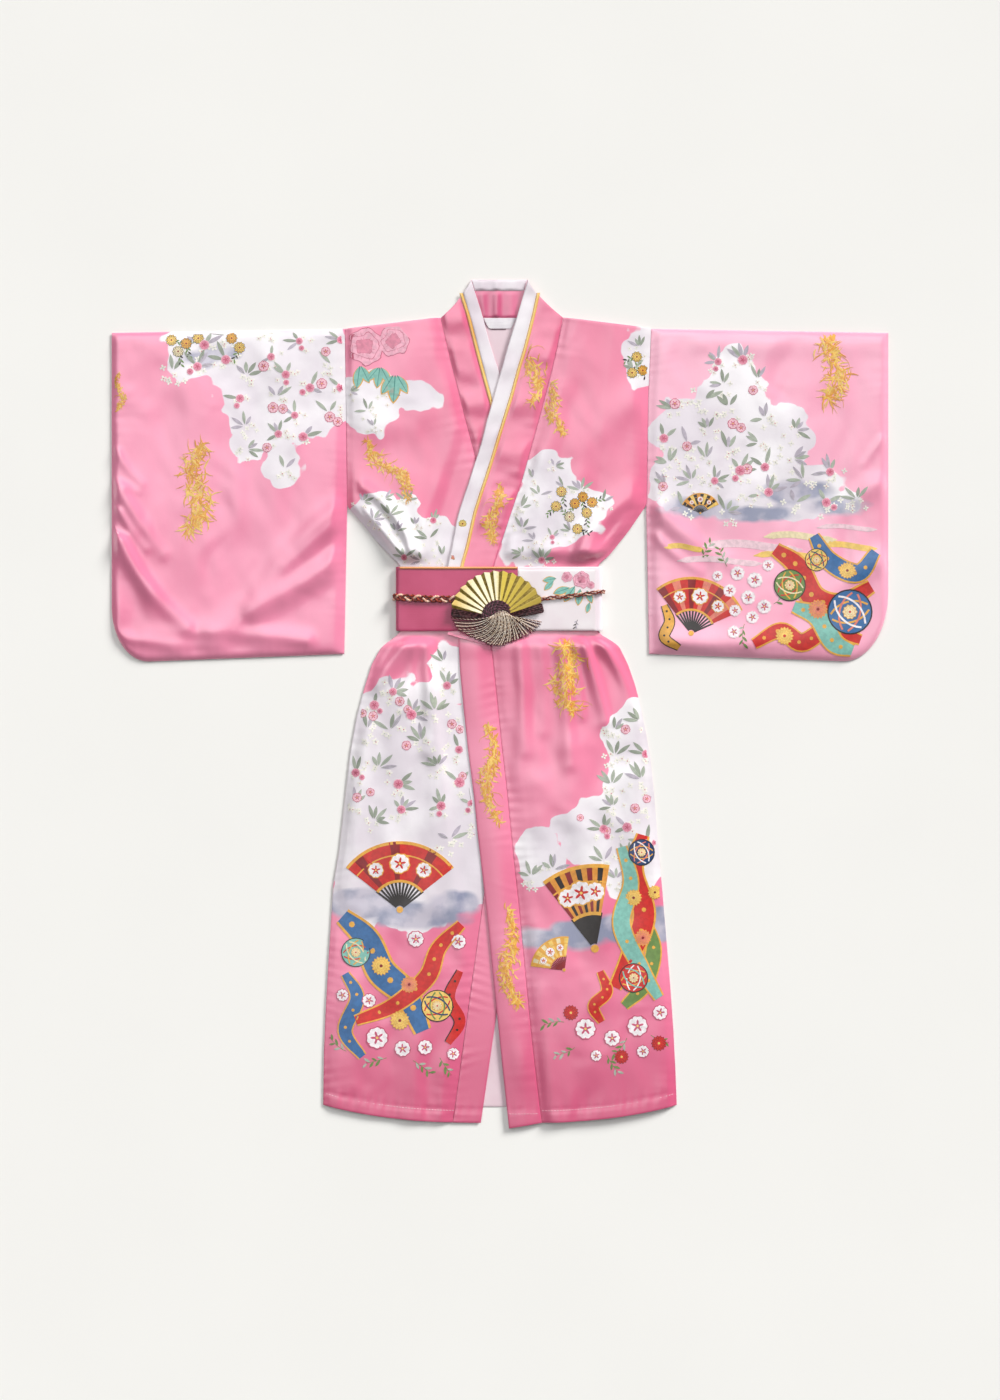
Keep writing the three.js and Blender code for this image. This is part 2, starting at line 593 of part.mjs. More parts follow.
function fanLeaf() {
  const columns = shares(FAN.pleats * 2);
  const radii = [FAN.hub + GAP, lerp(FAN.hub, FAN.radius, 0.5), FAN.radius];
  const underside = (u, j) => {
    const angle = radians(lerp(FAN.to, FAN.from, u));
    const fold = Math.round(u * FAN.pleats * 2) % 2;
    const radius = radii[j];
    const height = FAN.pleatHeight * (radius / FAN.radius) * fold;
    return [FAN.x + radius * Math.cos(angle), FAN.y + radius * Math.sin(angle), FAN.z + height];
  };
  return sheet('fan_leaf', columns, radii.length, underside, FAN.wall, looks.gold);
}

function fanGuard(name, angle) {
  const { innerHalf, outerHalf, reach, round, wall } = GUARD;
  const shape = new THREE.Shape();
  shape.moveTo(FAN.hub + GAP, -innerHalf);
  shape.lineTo(reach - round, -outerHalf);
  shape.quadraticCurveTo(reach, -outerHalf, reach, 0);
  shape.quadraticCurveTo(reach, outerHalf, reach - round, outerHalf);
  shape.lineTo(FAN.hub + GAP, innerHalf);
  shape.closePath();
  const geometry = new THREE.ExtrudeGeometry(shape, { depth: wall, bevelEnabled: false, curveSegments: 4 });
  const mesh = new THREE.Mesh(geometry, looks.lacquer);
  mesh.rotation.z = radians(angle);
  mesh.position.set(FAN.x, FAN.y, FAN.z);
  mesh.name = name;
  return mesh;
}

function fanHub() {
  const profile = [[0, 0], [1, 0], [1, 1.8], [0.86, 3.2], [0.6, 4.3], [0, 4.8]];
  const points = profile.map(([share, z]) => new THREE.Vector2(FAN.hub * share, z));
  const geometry = new THREE.LatheGeometry(points, 24);
  geometry.rotateX(Math.PI / 2);
  const mesh = new THREE.Mesh(geometry, looks.lacquer);
  mesh.position.set(FAN.x, FAN.y, FAN.z);
  mesh.name = 'fan_hub';
  return mesh;
}

function toManifold(geometry) {
  const plain = geometry.clone();
  plain.deleteAttribute('normal');
  plain.deleteAttribute('uv');
  const merged = mergeVertices(plain, 1e-4);
  return new wasm.Manifold(new wasm.Mesh({
    numProp: 3,
    vertProperties: new Float32Array(merged.attributes.position.array),
    triVerts: new Uint32Array(merged.index.array),
  }));
}

function fromManifold(name, body, look) {
  const made = body.getMesh();
  return solid(name, Array.from(made.vertProperties), Array.from(made.triVerts), look);
}

// One strand: a three-sided lock that leaves the head, swirls outwards and sinks towards the belt
function strand(share) {
  const angle = lerp(TASSEL.from, TASSEL.to, share);
  const swirl = lerp(TASSEL.leftSwirl, TASSEL.rightSwirl, share);
  const spread = radians((TASSEL.to - TASSEL.from) / TASSEL.strands);
  const reach = 1 / Math.hypot(
    Math.cos(radians(angle)) / TASSEL.sideReach, Math.sin(radians(angle)) / TASSEL.downReach,
  );
  const steps = 4;
  const positions = [];
  for (let i = 0; i <= steps; i += 1) {
    const t = i / steps;
    const radius = lerp(TASSEL.rootRadius, reach, t);
    const turned = radians(angle + swirl * (1 - t) * (1 - t));
    const x = lerp(TASSEL.rootX, FAN.x, t) + radius * Math.cos(turned);
    const y = lerp(TASSEL.rootY, FAN.y, t) + radius * Math.sin(turned);
    const z = lerp(TASSEL.rootZ, TASSEL.tipZ, t * t * (2 - t));
    const half = (Math.min(TASSEL.tipWidth, radius * spread * 0.7) / 2) * (i === steps ? 0.5 : 1);
    const side = [-Math.sin(turned) * half, Math.cos(turned) * half];
    positions.push(x - side[0], y - side[1], z);
    positions.push(x, y, z - half * 1.2);
    positions.push(x + side[0], y + side[1], z);
  }
  const geometry = new THREE.BufferGeometry();
  geometry.setAttribute('position', new THREE.Float32BufferAttribute(positions, 3));
  geometry.setIndex(ringFaces(steps + 1, 3));
  return geometry;
}

function fanTassel() {
  const head = new THREE.CylinderGeometry(TASSEL.headRadius * 0.7, TASSEL.headRadius, TASSEL.headHeight, 24);
  head.rotateX(Math.PI / 2);
  head.translate(TASSEL.rootX, TASSEL.rootY, TASSEL.rootZ - 0.2);
  let body = toManifold(head);
  const roots = shares(TASSEL.strands - 1).map((share) => toManifold(strand(share)));
  for (const root of roots) body = body.add(root);
  return fromManifold('fan_tassel', body, looks.tassel);
}

const kimono = new THREE.Group();
kimono.add(
  backPanel(),
  rightFront(),
  leftFront(),
  overlapStrip(
    'overlap_right', offset(rightSeam, GAP / 2), rightFrontEdge, () => FRONT_HEM_DROP, () => FRONT_BASE,
  ),
  overlapStrip(
    'overlap_left', leftFrontEdge, offset(leftSeam, -GAP / 2), (u) => lerp(FRONT_TIP_DROP, FRONT_HEM_DROP, u),
    overlapped,
  ),
  ...collarOf('right'),
  ...collarOf('left'),
  ...collarBack(),
  neckLabel(),
  sleeve('right'),
  sleeve('left'),
  beltBand(),
  beltPanel(),
  beltPiping(),
  waistTuck(),
  braidCord(),
  fanLeaf(),
  fanGuard('fan_guard_right', GUARD.rightAngle),
  fanGuard('fan_guard_left', GUARD.leftAngle),
  fanHub(),
  fanTassel(),
);

export default kimono;
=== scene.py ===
"""A printed satin kimono robe with its belt, cord and fan ornament, laid flat and seen from above."""
import math
import random
from collections import namedtuple

import bpy
import numpy as np
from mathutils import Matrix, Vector


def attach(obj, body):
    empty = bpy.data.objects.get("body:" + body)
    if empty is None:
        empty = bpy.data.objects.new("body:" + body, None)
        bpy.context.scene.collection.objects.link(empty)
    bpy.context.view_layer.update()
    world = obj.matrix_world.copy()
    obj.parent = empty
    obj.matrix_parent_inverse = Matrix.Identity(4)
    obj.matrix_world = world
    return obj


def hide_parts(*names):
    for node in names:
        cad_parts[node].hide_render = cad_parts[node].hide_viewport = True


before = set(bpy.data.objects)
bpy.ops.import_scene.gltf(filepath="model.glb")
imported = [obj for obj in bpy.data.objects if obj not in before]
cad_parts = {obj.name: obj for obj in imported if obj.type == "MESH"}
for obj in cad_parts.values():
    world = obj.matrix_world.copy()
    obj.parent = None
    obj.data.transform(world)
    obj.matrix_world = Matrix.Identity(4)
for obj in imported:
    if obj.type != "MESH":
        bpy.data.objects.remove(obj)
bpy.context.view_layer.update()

# Sizes in millimetres, as in the model. Meshes are scaled to metres when they are built.
MM = 0.001
CLOTH = 1.2
TRIM = 1.0
GAP = 0.3
FRONT_BASE = CLOTH + GAP
OVERLAP_LIFT = 3.0
PUFF = 3.0
SEAM_RAMP = 24.0
GRID = 3.8                      # spacing of the cloth's mesh
BACK_GRID = 9.0                 # and of the back's, which hardly shows
FOLD_GAIN = 1.3                 # every fold's height in the tables below is multiplied by this
EDGE_STEPS = (0.0, 0.9, 2.2, 4.2)

BELT = dict(left=-156.0, right=153.0, bottom=109.5, top=205.5, wall=2.0, clear=9.6, bends_at=148.0)
BELT_LIFT = BELT["wall"] + GAP
BELT_RAMP = dict(outer=44.0, inner=3.5)
BELT_TOP_Z = BELT["clear"] + BELT["wall"]
PANEL_Z = BELT_TOP_Z + GAP + TRIM
BELT_PRINT = dict(left=27.0, right=143.0, bottom=110.5, top=201.0, rim=0.5)
BELT_PIPING = dict(left=-150.0, right=26.0, drop=1.75, half=1.72, rise=0.25, height=1.3)
CROSS_Y = 156.0
SHOULDER_Y = 562.5
NECK_RISE = 16.5
HEM_SIDE_Y = -601.0
FRONT_HEM_DROP = 27.0
FRONT_TIP_DROP = 35.0
BACK_HEM_DROP = 3.0
COLLAR_TOP = 636.0
BEND_FROM = 130.0
HEM_FOLD = 18.0
EVEN_HEM = (FRONT_HEM_DROP, FRONT_HEM_DROP)
PIPING_WIDTH = 5.0
PRINT_MARGIN = 3.0              # how far the print stays inside a panel's edges
PRINT_HEIGHTS = (-598, 566)     # the lowest and highest y that it may reach on the fronts
PUCKER_REACH = 13.0
TUCK = dict(bottom_left=-79.0, top_left=-72.0, bottom_right=-22.0, top_right=-30.0,
            low_left=104.5, low_right=88.5, high=119.0)

FAN = dict(x=-4.8, y=132.4, z=18.5)
PLEATS = dict(x=-3.5, y=127.5, inner=19.5, radius=71.0, start=20.2, end=166.5, number=13)
CORD_HALF = 2.5
CORD_Z = dict(belt=BELT_TOP_Z + GAP + CORD_HALF, panel=PANEL_Z + GAP + CORD_HALF)
TASSEL = dict(start=183.0, end=352.0, root_x=1.8, root_y=129.5, root_radius=13.0, side=69.0, down=45.0,
              root_z=27.0, tip_z=14.6, strands=31, waist=0.09)
SWIRL = dict(share=(0.0, 0.12, 0.35, 1.0), degrees=(9.0, 28.0, 38.0, 4.0))
GUARDS = dict(
    fan_guard_right=dict(degrees=172.2, tip_half=6.4),
    fan_guard_left=dict(degrees=13.6, tip_half=7.6))
GUARD = dict(inner=PLEATS["inner"] + 1.0, shoulder=66.0, outer=70.0, root_half=4.0)
HUB = dict(sides=72, turns=5.2, first=21.9, step=4.0, points=1100)
HUB_PROFILE = ((0, 4.0), (9, 3.5), (14, 3.0), (18, 2.2), (21, 1.2), (22.6, 0.5), (22.8, 0.0), (0, 0.0))
FLOOR = dict(reach=16000.0, z=-0.4)
SUN = dict(direction=(0.57, 0.59, 0.38), strength=3.9, angle=0.36, colour=(1.0, 0.99, 0.975))
SKY = dict(direction=(-0.22, 0.48, 1.0), rim_at=0.74, top_at=0.995, rim=0.15, top=1.8,
           colour=(0.985, 0.99, 1.0, 1.0))


def ramp(t):
    t = np.clip(t, 0.0, 1.0)
    return t * t * (3 - 2 * t)


def lerp(a, b, t):
    return a + (b - a) * t


def edge(*rows, soften=9.0):
    """x at a height y, through rows of (y, x) from the top down, with its corners softened."""
    ys = np.array([y for y, _ in reversed(rows)], float)
    xs = np.array([x for _, x in reversed(rows)], float)

    def at(y):
        y = np.asarray(y, float)
        reach = np.clip(np.minimum(ys[-1] - y, y - ys[0]), 0, soften)
        return sum(np.interp(y + k * reach, ys, xs) for k in (-1, -0.5, 0, 0.5, 1)) / 5
    return at


right_side = edge(
    (562.5, -232.5), (456, -231), (296, -229), (273, -208), (242, -183), (220, -162), (209, -150),
    (106, -150), (98, -161), (85, -178), (60, -192), (25, -203), (-21, -215), (-71, -224),
    (-150, -233), (-220, -241), (-273, -250), (-384, -257), (-453, -261), (-524, -264), (-602, -265),
    soften=3)
left_side = edge(
    (562.5, 226.5), (456, 222), (299, 220), (258, 192), (222, 163), (209, 147), (106, 147), (98, 162),
    (87, 178), (59, 192), (27, 203), (-5, 211), (-39, 218), (-78, 225), (-122, 230), (-209, 237),
    (-276, 243), (-348, 249), (-419, 255), (-490, 260), (-549, 263), (-602, 265), soften=3)
right_seam = edge(
    (579, -89), (522, -76), (479, -65), (427, -52), (374, -38), (206, 8), (156, 20), (109, 30),
    (-636, -72))
left_seam = edge(
    (579, 94.5), (533, 85.5), (493, 76), (427, 58.5), (338, 34), (268, 10.5), (206, -10), (156, -16),
    (87, -13), (22, -6), (-58, 2), (-127, 10), (-228, 20), (-299, 28), (-405, 38), (-505, 48), (-591, 58),
    (-636, 64))
right_front_edge = edge((156, 82), (109, 78), (-636, -30))
left_front_edge = edge(
    (156, -66), (95, -62), (50, -60), (-12, -54), (-81, -46.5), (-138, -39), (-195, -33.5), (-260, -26),
    (-329, -18), (-412, -10), (-468, -4), (-537, 3), (-636, 13.5))
right_collar_inner = edge(
    (636, -43.5), (585, -27), (543, -16), (507, -4.5), (493, 0.5), (384, 31), (283, 62), (206, 78), (156, 84))
right_collar_piping = edge(
    (616, -56), (582, -45), (542, -35), (502, -24.5), (457, -12), (412, 1), (358, 17), (286, 40), (206, 56),
    (156, 64))
left_collar_inner = edge(
    (636, 41.5), (616, 36), (586, 27), (543, 14), (496, 0.5), (427, -19), (384, -30), (283, -63), (229, -74),
    (206, -78), (156, -84))
left_collar_piping = edge(
    (616, 55), (579, 47), (536, 36), (496, 24), (464, 15.5), (427, 4), (358, -17), (286, -40.5), (237, -51),
    (206, -60), (156, -66))

# Folds: a ridge from a to c, bending past b. lean scales the width on its left.
Fold = namedtuple("Fold", "ax ay bx by cx cy width height lean")
BODY_FOLDS = [Fold(*row) for row in (
    (-141, 214, -160, 240, -196, 282, 12, 8, 0.6),
    (-128, 214, -148, 290, -206, 325, 12, 8, 0.6),
    (-98, 214, -112, 270, -142, 335, 16, 3.5, 1.0),
    (-116, 212, -124, 240, -150, 268, 6, 2.5, 0.7),
    (-60, 212, -74, 262, -84, 320, 15, 2.0, 1.2),
    (126, 214, 150, 298, 214, 314, 13, 9.5, 1.5),
    (140, 214, 168, 236, 208, 286, 10, 7, 1.4),
    (88, 214, 96, 270, 118, 340, 17, 3.5, 1.0),
    (112, 212, 122, 244, 142, 276, 7, 3.0, 1.3),
    (52, 212, 60, 250, 62, 310, 13, 2.0, 1.0),
    (-134, 100, -150, 72, -186, 34, 11, 9, 1.4),
    (-108, 100, -104, 20, -108, -70, 13, 7, 1.3),
    (-122, 102, -134, 60, -142, -10, 7, 3.0, 1.3),
    (-84, 102, -80, 60, -84, 0, 9, 4, 1.0),
    (-60, 100, -62, 30, -66, -60, 9, 3.5, 1.0),
    (30, 100, 32, 30, 38, -70, 11, 3.5, 1.0),
    (-150, 10, -160, -120, -172, -330, 27, 4, 1.0),
    (-92, 20, -86, -110, -104, -300, 20, 3.5, 1.2),
    (-200, -40, -214, -150, -222, -300, 16, 2.5, 1.0),
    (122, 100, 138, 60, 160, -26, 12, 9, 0.6),
    (142, 100, 176, 74, 204, 2, 11, 7.5, 0.7),
    (110, 102, 118, 60, 124, -20, 7, 3.0, 0.7),
    (60, 102, 66, 50, 64, -40, 12, 2.5, 1.0),
    (92, 100, 100, 20, 104, -90, 14, 5.5, 0.8),
    (112, -70, 124, -220, 152, -440, 28, 4, 1.0),
    (200, -110, 204, -250, 218, -420, 20, 3, 1.0),
    (60, -120, 74, -260, 92, -420, 24, 2.5, 1.0),
    (-190, 420, -150, 400, -110, 440, 24, 2.0, 1.0),
    (190, 450, 150, 400, 120, 380, 24, 2.0, 1.0),
)]
RIGHT_SLEEVE_FOLDS = [Fold(*row) for row in (
    (-240, 290, -300, 250, -372, 150, 19, 8.5, 1.3),
    (-236, 276, -278, 240, -320, 206, 8, 2.5, 1.4),
    (-238, 222, -318, 158, -430, 112, 19, 7.5, 0.9),
    (-576, 334, -562, 326, -542, 318, 6, 2.0, 1.0),
    (-290, 96, -400, 112, -530, 104, 13, 3.5, 1.0),
    (-566, 244, -540, 176, -468, 118, 15, 8, 0.7),
    (-566, 318, -545, 276, -505, 226, 13, 5, 0.8),
    (-570, 290, -556, 262, -530, 232, 7, 3.0, 0.8),
    (-574, 380, -560, 352, -536, 330, 7, 2.0, 0.8),
    (-560, 100, -500, 84, -420, 90, 9, 2.5, 1.0),
    (-470, 470, -420, 380, -430, 290, 34, 2.5, 1.0),
    (-340, 520, -300, 430, -330, 340, 30, 2.5, 1.0),
)]
LEFT_SLEEVE_FOLDS = [Fold(*row) for row in (
    (240, 290, 282, 240, 338, 216, 17, 5, 0.7),
    (236, 250, 262, 220, 300, 200, 8, 2.5, 0.8),
    (566, 330, 540, 318, 505, 284, 15, 4, 1.3),
    (566, 214, 532, 200, 492, 160, 16, 4, 1.3),
    (574, 398, 562, 384, 545, 360, 6, 2.0, 1.2),
    (262, 96, 400, 84, 512, 112, 19, 4, 1.0),
    (300, 540, 430, 532, 560, 538, 17, 1.7, 1.0),
    (470, 470, 430, 380, 440, 270, 34, 2.5, 1.0),
    (330, 500, 310, 420, 330, 330, 30, 2.0, 1.0),
)]
FOLD_STEPS = 10


def fold_height(fold, x, y):
    """The height that one fold adds at points x, y."""
    out = np.zeros(x.shape)
    reach = 3 * fold.width * max(1, fold.lean)
    xs = (fold.ax, fold.bx, fold.cx)
    ys = (fold.ay, fold.by, fold.cy)
    close = (x > min(xs) - reach) & (x < max(xs) + reach) & (y > min(ys) - reach) & (y < max(ys) + reach)
    if not close.any():
        return out
    px, py = x[close], y[close]
    t = np.linspace(0, 1, FOLD_STEPS + 1)
    lx = (1 - t) ** 2 * fold.ax + 2 * t * (1 - t) * fold.bx + t * t * fold.cx
    ly = (1 - t) ** 2 * fold.ay + 2 * t * (1 - t) * fold.by + t * t * fold.cy
    nearest = np.full(px.shape, np.inf)
    along = np.zeros(px.shape)
    side = np.zeros(px.shape)
    for i in range(FOLD_STEPS):
        dx, dy = lx[i + 1] - lx[i], ly[i + 1] - ly[i]
        share = np.clip(((px - lx[i]) * dx + (py - ly[i]) * dy) / (dx * dx + dy * dy), 0, 1)
        ox, oy = px - lx[i] - share * dx, py - ly[i] - share * dy
        distance = np.hypot(ox, oy)
        closer = distance < nearest
        nearest = np.where(closer, distance, nearest)
        along = np.where(closer, (i + share) / FOLD_STEPS, along)
        side = np.where(closer, dx * oy - dy * ox, side)
    width = fold.width * np.where(side > 0, fold.lean, 1.0)
    out[close] = FOLD_GAIN * fold.height * (1 - 0.6 * ramp(along)) * np.exp(-((nearest / width) ** 2))
    return out


NOISE_TABLES = {}


def value_noise(x, y, size, seed):
    """Smooth noise from -1 to 1 with features of about that size."""
    if seed not in NOISE_TABLES:
        NOISE_TABLES[seed] = np.random.RandomState(seed).rand(64, 64) * 2 - 1
    table = NOISE_TABLES[seed]
    gx, gy = np.asarray(x, float) / size, np.asarray(y, float) / size
    ix, iy = np.floor(gx).astype(int), np.floor(gy).astype(int)
    fx, fy = ramp(gx - ix), ramp(gy - iy)
    low = lerp(table[ix % 64, iy % 64], table[(ix + 1) % 64, iy % 64], fx)
    high = lerp(table[ix % 64, (iy + 1) % 64], table[(ix + 1) % 64, (iy + 1) % 64], fx)
    return lerp(low, high, fy)


def creases(x, y, seed):
    """Shallow soft creases, longer along the cloth's length than across it."""
    wander = 26 * value_noise(x, y, 70, seed)
    broad = value_noise(x + wander, y * 0.45, 34, seed + 1)
    fine = value_noise(x * 0.8 + y * 0.4, y * 0.5 - x * 0.2 + wander, 15, seed + 2)
    return 1.8 * (1 + broad) + 0.45 * (1 + fine)


def pucker(distance, along, seed, height=0.9):
    """Uneven gathers beside a sewn seam, some of them short and some reaching far in."""
    distance = np.maximum(distance, 0)
    slant = along + 0.35 * distance * value_noise(along, 0, 90, seed + 50)
    wave = 0.5 + 0.5 * np.sin(slant * 2 * math.pi / 14 + 3.2 * value_noise(slant, 0, 45, seed))
    uneven = 0.25 + 0.75 * np.clip(0.5 + value_noise(slant, 0, 28, seed + 60), 0, 1)
    return height * uneven * wave * np.exp(-distance / (PUCKER_REACH * (0.5 + uneven)))


def belt_lift(y):
    span = BELT_RAMP["outer"] - BELT_RAMP["inner"]
    lower = (y - (BELT["bottom"] - BELT_RAMP["outer"])) / span
    upper = (BELT["top"] + BELT_RAMP["outer"] - y) / span
    return BELT_LIFT * np.clip(np.minimum(lower, upper), 0, 1)


def belt_press(y):
    below = BELT["bottom"] - BELT_RAMP["inner"] - y
    above = y - BELT["top"] - BELT_RAMP["inner"]
    return ramp(np.maximum(below, above) / 22)


def towards_top(y):
    return np.clip((y - (SHOULDER_Y - BEND_FROM)) / BEND_FROM, 0, 1)


def towards_hem(y):
    return np.clip((HEM_SIDE_Y + BEND_FROM - y) / BEND_FROM, 0, 1)


def shoulder_rise(x):
    return NECK_RISE * np.clip((232 - np.abs(x)) / 140, 0, 1)


def hem_shape(x):
    return 1 - np.minimum(1, np.abs(x) / 265) ** 2.6


def hem_line(x, drop):
    return HEM_SIDE_Y - drop * hem_shape(x)


# The upper face of each panel, as a height over the surface the robe lies on

def hem_relief(x, y):
    """The turned hem stands up a little, with a puckered line of stitches along its top."""
    rise = y - hem_line(x, FRONT_HEM_DROP)
    turned = 0.5 * ramp((HEM_FOLD + 1 - rise) / 2.5)
    wave = np.sin(x * 2 * math.pi / 13 + 3 * value_noise(x, 0, 30, 77))
    gathers = 0.5 * wave * np.exp(-np.abs(rise - HEM_FOLD) / 9)
    return turned + gathers - 0.7 * np.exp(-((rise - HEM_FOLD - 1) / 2.2) ** 2)


def front_height(x, y, from_side, from_inner, from_seam, from_cover, seed):
    """What a front panel stands up: its puff and folds away from its seams, fine creases and gathers."""
    press = belt_press(y)
    free = press * ramp(from_side / SEAM_RAMP) * ramp(from_inner / SEAM_RAMP)
    folds = sum(fold_height(fold, x, y) for fold in BODY_FOLDS)
    soft = press * ramp(from_side / 12) * ramp(from_cover / 12) * (0.5 + 0.5 * ramp(from_inner / SEAM_RAMP))
    seams = press * (pucker(from_seam, y, seed + 5) + 0.6 * pucker(from_side, y, seed + 6))
    return free * (PUFF - 1 + folds + hem_relief(x, y)) + soft * creases(x, y, seed) + seams


def right_front_top(x, y):
    cover = np.where(y > CROSS_Y, left_collar_inner(y), left_front_edge(y))
    inner = np.minimum(right_seam(y), cover - 25) - x
    seam = right_seam(y) - x
    height = front_height(x, y, x - right_side(y), inner, seam, np.minimum(seam, cover + 12 - x), 11)
    return belt_lift(y) + FRONT_BASE + CLOTH + height


def left_front_top(x, y):
    share = (x - left_seam(y)) / (left_side(y) - left_seam(y))
    past = np.clip((share - 7 / 12) / (4 / 12), 0, 1)
    seam = x - left_seam(y)
    height = front_height(x, y, left_side(y) - x, seam, seam, seam, 21)
    return belt_lift(y) + FRONT_BASE + OVERLAP_LIFT * (1 - past) + CLOTH + height


def right_overlap_top(x, y):
    gathers = pucker(x - right_seam(y), y, 31)
    return belt_lift(y) + FRONT_BASE + CLOTH + belt_press(y) * (gathers + 0.6 * (0.7 + hem_relief(x, y)))


def left_overlap_top(x, y):
    across = np.clip((x - left_front_edge(y)) / (left_seam(y) - left_front_edge(y)), 0, 1)
    swell = 2.6 * np.sin(math.pi * across) * (1 + 0.5 * value_noise(x, y * 0.6, 40, 41))
    gathers = pucker(left_seam(y) - x, y, 42, height=0.7) + 0.6 * (0.7 + hem_relief(x, y))
    return belt_lift(y) + FRONT_BASE + OVERLAP_LIFT + CLOTH + belt_press(y) * (swell + gathers)


def back_top(x, y):
    return belt_lift(y) + CLOTH


SLEEVE = dict(
    outer=582.0, top_inner=562.5, top_outer=556.5, bottom_inner=75.0, bottom_outer=61.5, armhole=298.0)
SLEEVE_CORNER = dict(right=(57.0, 82.0), left=(69.0, 104.0))


class Sleeve:
    """The shape of one sleeve, laid flat."""

    def __init__(self, side):
        self.way = -1 if side == "right" else 1
        self.body = right_side if side == "right" else left_side
        self.folds = RIGHT_SLEEVE_FOLDS if side == "right" else LEFT_SLEEVE_FOLDS
        self.corner = SLEEVE_CORNER[side]
        self.seed = 51 if side == "right" else 61

    def inner_x(self, y):
        armhole = SLEEVE["armhole"]
        return self.body(np.maximum(y, armhole)) + self.way * (GAP + np.maximum(armhole - y, 0) * 0.02)

    def share(self, x, y):
        inner = self.inner_x(y)
        return (x - inner) / (self.way * SLEEVE["outer"] - inner)

    def top_y(self, s):
        return lerp(SLEEVE["top_inner"], SLEEVE["top_outer"], s)

    def bottom_y(self, s):
        across, up = self.corner
        reach = SLEEVE["outer"] - self.way * float(self.inner_x(SLEEVE["armhole"]))
        beyond = np.clip((s * reach - (reach - across)) / across, 0, 1)
        return lerp(SLEEVE["bottom_inner"], SLEEVE["bottom_outer"], s) + up * (1 - np.sqrt(1 - beyond ** 2))

    def top(self, x, y):
        s = self.share(x, y)
        from_inner = np.abs(x - self.inner_x(y))
        from_outer = SLEEVE["outer"] - np.abs(x)
        from_ends = np.minimum(self.top_y(s) - y, y - self.bottom_y(s))
        free = ramp(from_inner / SEAM_RAMP) * ramp(from_outer / 12) * ramp(from_ends / 18)
        puff = PUFF * ramp(from_inner / 16) * ramp(from_outer / 8) * ramp(from_ends / 7)
        folds = sum(fold_height(fold, x, y) for fold in self.folds)
        gathers = 0.5 * pucker(from_outer, y, self.seed + 5) + 0.6 * pucker(from_inner, y, self.seed + 6)
        gathers = gathers + 0.5 * pucker(from_ends, x, self.seed + 7)
        return FRONT_BASE + CLOTH + puff + free * (folds + creases(x, y, self.seed) - 1) + gathers

    def inside(self, x, y):
        """A test for points that the print may cover."""
        s = self.share(x, y)
        between_sides = (s > 0.01) & (np.abs(x) < SLEEVE["outer"] - PRINT_MARGIN)
        return between_sides & (y < self.top_y(s) - PRINT_MARGIN) & (y > self.bottom_y(s) + PRINT_MARGIN)


SLEEVES = {side: Sleeve(side) for side in ("right", "left")}


# Cloud fields: ovals whose joined outline, roughened, is the edge of the pale part of the print

Oval = namedtuple("Oval", "x y rx ry")


def joined(*rows):
    return [Oval(*row) for row in rows]


CLOUDS = {
    "sleeve_right": joined(
        (-300, 520, 80, 66), (-440, 530, 70, 46), (-350, 500, 90, 66), (-340, 438, 70, 56),
        (-372, 388, 30, 28), (-330, 364, 30, 42), (-262, 448, 46, 42)),
    "front_right": joined(
        (-196, 450, 56, 50), (-138, 462, 42, 24), (-112, 454, 20, 12), (-168, 268, 62, 48),
        (-112, 240, 50, 46), (-80, 216, 34, 28), (-140, -150, 150, 190), (-74, 34, 34, 54),
        (-60, -240, 70, 70), (-190, -262, 70, 50)),
    "front_left": joined(
        (212, 524, 26, 46), (70, 330, 44, 46), (34, 262, 40, 58), (112, 300, 46, 34), (96, 264, 50, 30),
        (206, -56, 52, 62), (196, -120, 44, 70), (140, -196, 60, 56), (190, -210, 70, 80),
        (60, -228, 42, 42), (228, -150, 50, 90)),
    "back": joined(
        (-130, 300, 110, 60), (-60, 340, 70, 50), (120, 430, 100, 60), (60, -90, 150, 110),
        (150, -190, 110, 90), (-190, -40, 60, 90), (-120, -320, 110, 50)),
    "sleeve_left": joined(
        (350, 506, 28, 30), (348, 452, 62, 46), (288, 410, 64, 52), (402, 396, 72, 56), (288, 342, 66, 60),
        (380, 330, 88, 54), (462, 326, 58, 36), (514, 304, 38, 18), (420, 304, 90, 30)),
}
HILLS = {
    "sleeve_right": joined((-452, 516, 34, 13), (-424, 526, 30, 12)),
    "front_right": joined((-210, -300, 62, 22), (-120, -316, 70, 18), (-64, -300, 40, 18)),
    "front_left": joined(
        (60, -352, 34, 16), (120, -346, 50, 20), (190, -336, 60, 22), (240, -330, 40, 26)),
    "sleeve_left": joined(
        (440, 318, 60, 16), (500, 296, 50, 14), (300, 292, 56, 14), (380, 284, 60, 12)),
    "back": joined((-60, -370, 120, 26), (80, -356, 90, 20), (190, -300, 60, 18)),
}


def field(ovals, x, y, seed, rough=9.0):
    """Distance to the joined outline of some ovals, negative inside, with a roughened edge."""
    out = np.full(np.shape(x), 400.0)
    for o in ovals:
        reach = np.hypot((x - o.x) / o.rx, (y - o.y) / o.ry)
        out = np.minimum(out, (reach - 1) * min(o.rx, o.ry))
    bumps = value_noise(x, y, 22, seed) + 0.55 * value_noise(x, y, 10, seed + 1)
    return out + rough * bumps


# Mesh building

def set_floats(mesh, name, values):
    attribute = mesh.attributes.new(name, "FLOAT", "POINT")
    attribute.data.foreach_set("value", np.asarray(values, np.float32))


